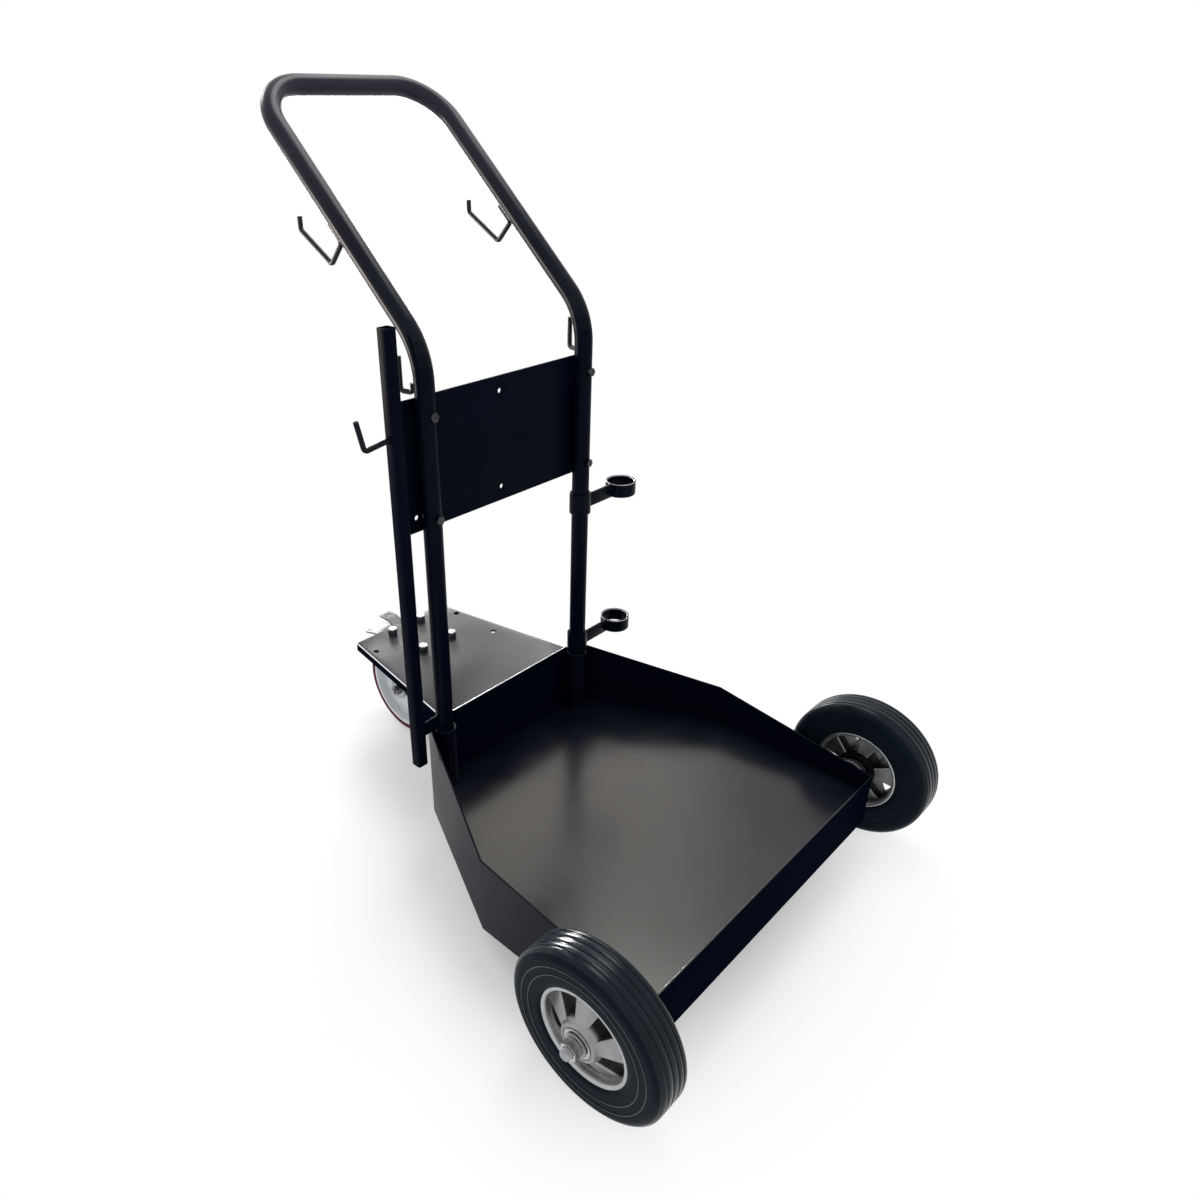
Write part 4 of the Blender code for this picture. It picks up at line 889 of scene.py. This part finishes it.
def build_ring_holders():
    """Collar, arm and ring in one piece on the right upright, and the arm's welds."""
    rise = COLLAR_HEIGHT - RING_BELOW_COLLAR
    collar_section = ring_section(COLLAR_RADIUS, TUBE_RADIUS + GAP, 0, COLLAR_HEIGHT, COLLAR_EDGE)
    section = ring_section(
        RING_RADIUS, RING_RADIUS - RING_WALL, rise - RING_HEIGHT, rise, COLLAR_EDGE
    )
    first = UPRIGHT_X + COLLAR_RADIUS - ARM_OVERLAP
    last = UPRIGHT_X + RING_REACH - RING_RADIUS + ARM_OVERLAP
    for label in ("upper", "lower"):
        node = "ring_holder_" + label
        low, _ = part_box(node)
        spot = Matrix.Translation((UPRIGHT_X, UPRIGHT_Y, low.z))
        ring_spot = Matrix.Translation((UPRIGHT_X + RING_REACH, UPRIGHT_Y, low.z))
        collar = turned("collar", collar_section, COLLAR_STEPS, spot @ X_TO_Z)
        ring = turned("ring", section, RING_STEPS, ring_spot @ X_TO_Z)
        top = low.z + rise
        arm = arm_mesh(first, last, top)
        holder = stand_in(node, joined(node, collar, arm, ring))
        # Painted highlight on the ring's chamfers
        repaint(holder, "worn_edge", on_ring_chamfer)
        for end, edge in ((first + ARM_OVERLAP, "collar"), (last - ARM_OVERLAP, "ring")):
            for face, side in ((-1, "_front"), (1, "_rear")):
                across = UPRIGHT_Y + face * ARM_THICKNESS / 2
                bottom = (end, across, top - RING_HEIGHT + ARM_BEAD_MARGIN)
                path = run(bottom, (end, across, top - ARM_BEAD_MARGIN))
                weld(label + "_" + edge + "_weld" + side, path)


def tyre_section():
    """Rounded shoulders, fine rings on the sidewalls and narrow grooves round the tread."""
    tread = []
    for row in GROOVE_ROWS:
        centre = row * GROOVE_PITCH
        tread += [(WHEEL_RADIUS - depth, centre + half) for depth, half in GROOVE]
        tread += [(WHEEL_RADIUS - depth, centre - half) for depth, half in reversed(GROOVE)]
    return mirrored(TYRE_SIDE + tread + [TREAD_MIDDLE])


def spoke_outline(out_wide, out_face, in_face):
    """A spoke cut across: a rounded block, narrower inwards, its two faces a little hollow."""
    in_wide = out_wide * SPOKE_TAPER
    corner = SPOKE_CORNER
    corners = (  # across, face, its sign, half width, quarter turns
        (1, out_face, 1, out_wide, 0),
        (-1, out_face, 1, out_wide, 1),
        (-1, -in_face, -1, in_wide, 2),
        (1, -in_face, -1, in_wide, 3),
    )
    outline = []
    for across, out, sign, wide, quarter in corners:
        for step in range(SPOKE_CORNER_STEPS + 1):
            turn = math.pi / 2 * (quarter + step / SPOKE_CORNER_STEPS)
            outline.append(
                (
                    across * (wide - corner) + corner * math.cos(turn),
                    out - sign * corner + corner * math.sin(turn),
                )
            )
        if quarter % 2 == 0:
            for share in SPOKE_HOLLOW_SHARES:
                hollow = SPOKE_HOLLOW * (1 - share * share)
                outline.append((across * share * (wide - corner), out - sign * hollow))
        else:
            outline.append((across * out_wide * (1 + SPOKE_TAPER) / 2, 0))
    return outline


def spoke(turn):
    """One fan-shaped spoke, from inside the hub to inside the barrel."""
    work = bmesh.new()
    rows = []
    for step in range(SPOKE_ROWS + 1):
        share = step / SPOKE_ROWS
        radius = SPOKE_INNER + (SPOKE_OUTER - SPOKE_INNER) * share
        out_face = SPOKE_OUT[0] + (SPOKE_OUT[1] - SPOKE_OUT[0]) * share
        in_face = SPOKE_IN[0] + (SPOKE_IN[1] - SPOKE_IN[0]) * share
        row = []
        for across, along in spoke_outline(radius * SPOKE_ANGLE, out_face, in_face):
            angle = turn + across / radius
            row.append(
                work.verts.new((along, radius * math.cos(angle), radius * math.sin(angle)))
            )
        rows.append(row)
    for lower, upper in zip(rows, rows[1:]):
        for point in range(len(lower)):
            follow = (point + 1) % len(lower)
            work.faces.new((lower[point], lower[follow], upper[follow], upper[point]))
    work.faces.new(rows[0])
    work.faces.new(rows[-1])
    bmesh.ops.recalc_face_normals(work, faces=work.faces)
    return settle(work, "spoke", SPOKE_SHARP_ANGLE)


def rim_mesh(turn):
    """The rim of the right wheel, its longer hub end towards +X."""
    shells = [
        turned("barrel", mirrored(RIM_BARREL), BARREL_STEPS),
        turned("hub", RIM_HUB, HUB_STEPS),
    ]
    for index in range(SPOKES):
        shells.append(spoke(turn + 2 * math.pi * index / SPOKES))
    return joined("rim", *shells)


def bearing_mesh():
    """Outer race, sunk seal and inner race in one turned section."""
    half = [(radius, BEARING_HALF - depth) for radius, depth in BEARING]
    return turned("bearing", mirrored(half), BEARING_STEPS)


def stub_mesh(length):
    """The stub's flange and shank, with a rolled thread on its thin end."""
    section = list(STUB_FLANGE_AND_SHANK)
    along = THREAD_START + THREAD_RUN_IN
    while along < length - THREAD_STOP:
        section += [
            (THREAD_CREST, along),
            (THREAD_ROOT, along + THREAD_PITCH / 2),
            (THREAD_CREST, along + THREAD_PITCH),
        ]
        along += THREAD_PITCH
    section += [(radius, length - back) for radius, back in STUB_TIP]
    return turned("stub", section, STUB_STEPS)


def from_axle(place):
    return math.hypot(place.y - AXLE.y, place.z - AXLE.z)


def on_tread(place, normal):
    return from_axle(place) > TREAD_START


def on_tyre_ring(place):
    return any(abs(from_axle(place) - ring) < TYRE_RING_HALF for ring in TYRE_RINGS)


def on_lip(place, normal):
    return from_axle(place) > LIP_START


def paint_rim(rim, side, centre):
    """Painted shade on the rim: darker on its inner faces, darkest on the hub's inner faces and
    the inner half of the window walls, less dark on their outer half; a paler finish on its lip.
    """
    # Painted shade on the faces that look towards the tray, darkest near the hub
    for special, reach in (("cast_inner", LIP_START), ("cast_shade", HUB_RADIUS)):
        repaint(
            rim,
            special,
            lambda place, normal: normal.x * side < FACES_INWARD and from_axle(place) < reach,
        )
    # Painted shade on the window walls, the outer half less dark than the inner half
    for special, half in (("cast_window", 1), ("cast_shade", -1)):
        repaint(
            rim,
            special,
            lambda place, normal: abs(normal.x) < WINDOW_WALL_TILT
            and -2 * WINDOW_MARGIN
            < half * side * (place.x - centre.x) + WINDOW_MARGIN
            < WINDOW_DEPTH,
        )
    repaint(rim, "cast_lip", on_lip)


def build_front_wheels():
    """Tyres, rims, bearings, stub axles, nuts and washers."""
    tyre_mesh = turned("tyre", tyre_section(), TYRE_STEPS)
    bearing = bearing_mesh()
    for side, label in SIDES:
        centre = Vector((side * AXLE.x, AXLE.y, AXLE.z))
        tyre = stand_in("wheel_tyre_" + label, shifted(tyre_mesh, centre))
        # Painted highlight on the fine rings of the outer sidewall; the rings on the inner side
        # stay plain rubber
        repaint(
            tyre,
            "worn_rubber",
            lambda place, normal: side * (place.x - centre.x) > 0 and on_tyre_ring(place),
        )
        repaint(tyre, "tread_rubber", on_tread)
        rim = rim_mesh(SPOKE_START[label])
        if side < 0:
            rim.transform(HALF_TURN)
        paint_rim(stand_in("wheel_rim_" + label, shifted(rim, centre)), side, centre)
        for name in ("bearing_outer_", "bearing_inner_"):
            low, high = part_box(name + label)
            stand_in(name + label, shifted(bearing, (low + high) / 2))
        low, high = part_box("axle_stub_" + label)
        stub = stub_mesh(high.x - low.x)
        if side < 0:
            stub.transform(HALF_TURN)
        root = low.x if side > 0 else high.x
        stand_in("axle_stub_" + label, shifted(stub, (root, AXLE.y, AXLE.z)))
        eased("axle_nut_" + label, AXLE_NUT_EASE, AXLE_NUT_SEGMENTS)
        low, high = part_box("wheel_washer_" + label)
        section = ring_section(WASHER_OUTER, WASHER_INNER, low.x, high.x, WASHER_EDGE)
        washer = turned("washer", section, WASHER_STEPS)
        stand_in("wheel_washer_" + label, shifted(washer, (0, AXLE.y, AXLE.z)))


def build_caster():
    """The caster's wheel, and its fork, pedal and fittings with eased edges."""
    low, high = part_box("caster_tyre")
    centre = (low + high) / 2
    core = turned("core", mirrored(CASTER_CORE), CORE_STEPS)
    stand_in("caster_core", shifted(core, centre))
    tread = turned("tread", mirrored(CASTER_TREAD), CASTER_TREAD_STEPS)
    stand_in("caster_tyre", shifted(tread, centre))
    section = ring_section(BUSH_OUTER, BUSH_INNER, -BUSH_HALF, BUSH_HALF, BUSH_EDGE)
    stand_in("caster_bearing", shifted(turned("bush", section, BUSH_STEPS), centre))
    eased("caster_fork", FORK_EASE)
    for name in ("brake_pedal", "caster_top_plate", "caster_axle", "caster_axle_nut"):
        eased(name, FITTING_EASE)


def build_sheet_pieces():
    """Tray, plate, panel, post and bolts with eased edges."""
    for name in ("tray_floor", "floor_beam", "back_panel"):
        eased(name, SHEET_EASE)
    wall = eased("tray_wall", SHEET_EASE)
    repaint(wall, "dull_coat", lambda place, normal: normal.y < FACES_FRONT)
    repaint(
        wall,
        "smooth_coat",
        lambda place, normal: normal.z > FACES_UP and place.y < FRONT_EDGE_Y,
    )
    # Painted highlight on the top faces of the rear wall
    repaint(
        wall,
        "worn_edge",
        lambda place, normal: normal.z > FACES_UP and place.y > REAR_EDGE_Y,
    )
    plate = eased("rear_plate", PLATE_EASE)
    steep, flat = PLATE_FOLD_TILT
    # Painted highlight on the plate's folds; its flanges get a dull black
    repaint(plate, "bright_edge", lambda place, normal: steep < normal.z < flat)
    repaint(plate, "dull_coat", lambda place, normal: abs(normal.z) < steep)
    eased("post_bracket", FITTING_EASE)
    eased("accessory_post", POST_EASE)
    for name in sorted(NODES):
        if name.startswith(("panel_bolt", "panel_nut", "caster_nut")):
            eased(name, SMALL_BOLT_EASE)
        if name.startswith("caster_bolt"):
            eased(name, CASTER_BOLT_EASE)


def build_floor():
    """A white floor that keeps the shadow and goes over to an even white further out.

    The white is a glow that every ray sees, so it also lights the part from below.
    """
    mesh = bpy.data.meshes.new("studio_floor")
    work = bmesh.new()
    bmesh.ops.create_grid(work, x_segments=1, y_segments=1, size=FLOOR_REACH)
    work.to_mesh(mesh)
    work.free()
    floor = bpy.data.objects.new("studio_floor", mesh)
    floor.location = (0, 0, -FLOOR_DROP)
    bpy.context.scene.collection.objects.link(floor)
    material = bpy.data.materials.new("studio_floor")
    tree, shader = node_tools(material)
    shader.inputs["Base Color"].default_value = (*FLOOR_COLOUR, 1.0)
    shader.inputs["Roughness"].default_value = FLOOR_ROUGHNESS
    shader.inputs["Specular IOR Level"].default_value = FLOOR_LEVEL
    glow = tree.nodes.new("ShaderNodeEmission")
    glow.inputs["Color"].default_value = (*WHITE, 1.0)
    glow.inputs["Strength"].default_value = 1.0
    place = tree.nodes.new("ShaderNodeTexCoord")
    length = tree.nodes.new("ShaderNodeVectorMath")
    length.operation = "LENGTH"
    fade = tree.nodes.new("ShaderNodeMapRange")
    fade.interpolation_type = "SMOOTHSTEP"
    fade.inputs["From Min"].default_value = FADE_START
    fade.inputs["From Max"].default_value = FADE_END
    fade.inputs["To Min"].default_value = FADE_LEAST
    mix = tree.nodes.new("ShaderNodeMixShader")
    output = tree.nodes["Material Output"]
    tree.links.new(place.outputs["Object"], length.inputs[0])
    tree.links.new(length.outputs["Value"], fade.inputs["Value"])
    tree.links.new(fade.outputs["Result"], mix.inputs["Fac"])
    tree.links.new(shader.outputs["BSDF"], mix.inputs[1])
    tree.links.new(glow.outputs["Emission"], mix.inputs[2])
    tree.links.new(mix.outputs["Shader"], output.inputs["Surface"])
    mesh.materials.append(material)


def build_world():
    """A grey world that camera, glossy and transmission rays see as white."""
    world = bpy.data.worlds.new("studio")
    bpy.context.scene.world = world
    world.use_nodes = True
    tree = world.node_tree
    background = tree.nodes["Background"]
    background.inputs["Color"].default_value = (*WORLD_GREY, 1.0)
    background.inputs["Strength"].default_value = 1.0
    bright = tree.nodes.new("ShaderNodeBackground")
    bright.inputs["Color"].default_value = (*WHITE, 1.0)
    rays = tree.nodes.new("ShaderNodeLightPath")
    first = tree.nodes.new("ShaderNodeMath")
    first.operation = "MAXIMUM"
    second = tree.nodes.new("ShaderNodeMath")
    second.operation = "MAXIMUM"
    blend = tree.nodes.new("ShaderNodeMixShader")
    tree.links.new(rays.outputs["Is Camera Ray"], first.inputs[0])
    tree.links.new(rays.outputs["Is Glossy Ray"], first.inputs[1])
    tree.links.new(first.outputs["Value"], second.inputs[0])
    tree.links.new(rays.outputs["Is Transmission Ray"], second.inputs[1])
    tree.links.new(second.outputs["Value"], blend.inputs["Fac"])
    tree.links.new(background.outputs["Background"], blend.inputs[1])
    tree.links.new(bright.outputs["Background"], blend.inputs[2])
    tree.links.new(blend.outputs["Shader"], tree.nodes["World Output"].inputs["Surface"])


def soft_box(name, place, aim, size, power, colour, spread):
    """A rectangular area light, aimed at a point."""
    light = bpy.data.lights.new(name, "AREA")
    light.shape = "RECTANGLE"
    light.size, light.size_y = size
    light.energy = power
    light.color = colour
    light.spread = math.radians(spread)
    lamp = bpy.data.objects.new(name, light)
    lamp.location = place
    lamp.rotation_mode = "QUATERNION"
    lamp.rotation_quaternion = (Vector(aim) - Vector(place)).to_track_quat("-Z", "Y")
    lamp.visible_camera = False
    bpy.context.scene.collection.objects.link(lamp)


def build_camera():
    """The photo's camera."""
    toward = Vector(
        (math.sin(YAW) * math.cos(PITCH), math.cos(YAW) * math.cos(PITCH), -math.sin(PITCH))
    )
    flat_right = Vector((math.cos(YAW), -math.sin(YAW), 0))
    flat_up = flat_right.cross(toward)
    right = flat_right * math.cos(ROLL) + flat_up * math.sin(ROLL)
    up = flat_up * math.cos(ROLL) - flat_right * math.sin(ROLL)
    turn = Matrix((right, up, -toward)).transposed().to_4x4()
    camera_data = bpy.data.cameras.new("camera")
    camera_data.sensor_width = SENSOR
    camera_data.lens = SENSOR * FOCAL_PIXELS / IMAGE_PIXELS
    camera_data.shift_x = 0.5 - PRINCIPAL[0] / IMAGE_PIXELS
    camera_data.shift_y = PRINCIPAL[1] / IMAGE_PIXELS - 0.5
    camera = bpy.data.objects.new("camera", camera_data)
    camera.matrix_world = Matrix.Translation(EYE) @ turn
    bpy.context.scene.collection.objects.link(camera)
    bpy.context.scene.camera = camera


build_handle()
build_handle_hooks()
build_cable_hooks()
build_post_hook()
build_ring_holders()
build_front_wheels()
build_caster()
build_sheet_pieces()
build_floor()
build_world()
for light_row in LIGHTS:
    soft_box(*light_row)
build_camera()
bpy.context.scene.view_settings.view_transform = "Standard"

bpy.context.view_layer.update()
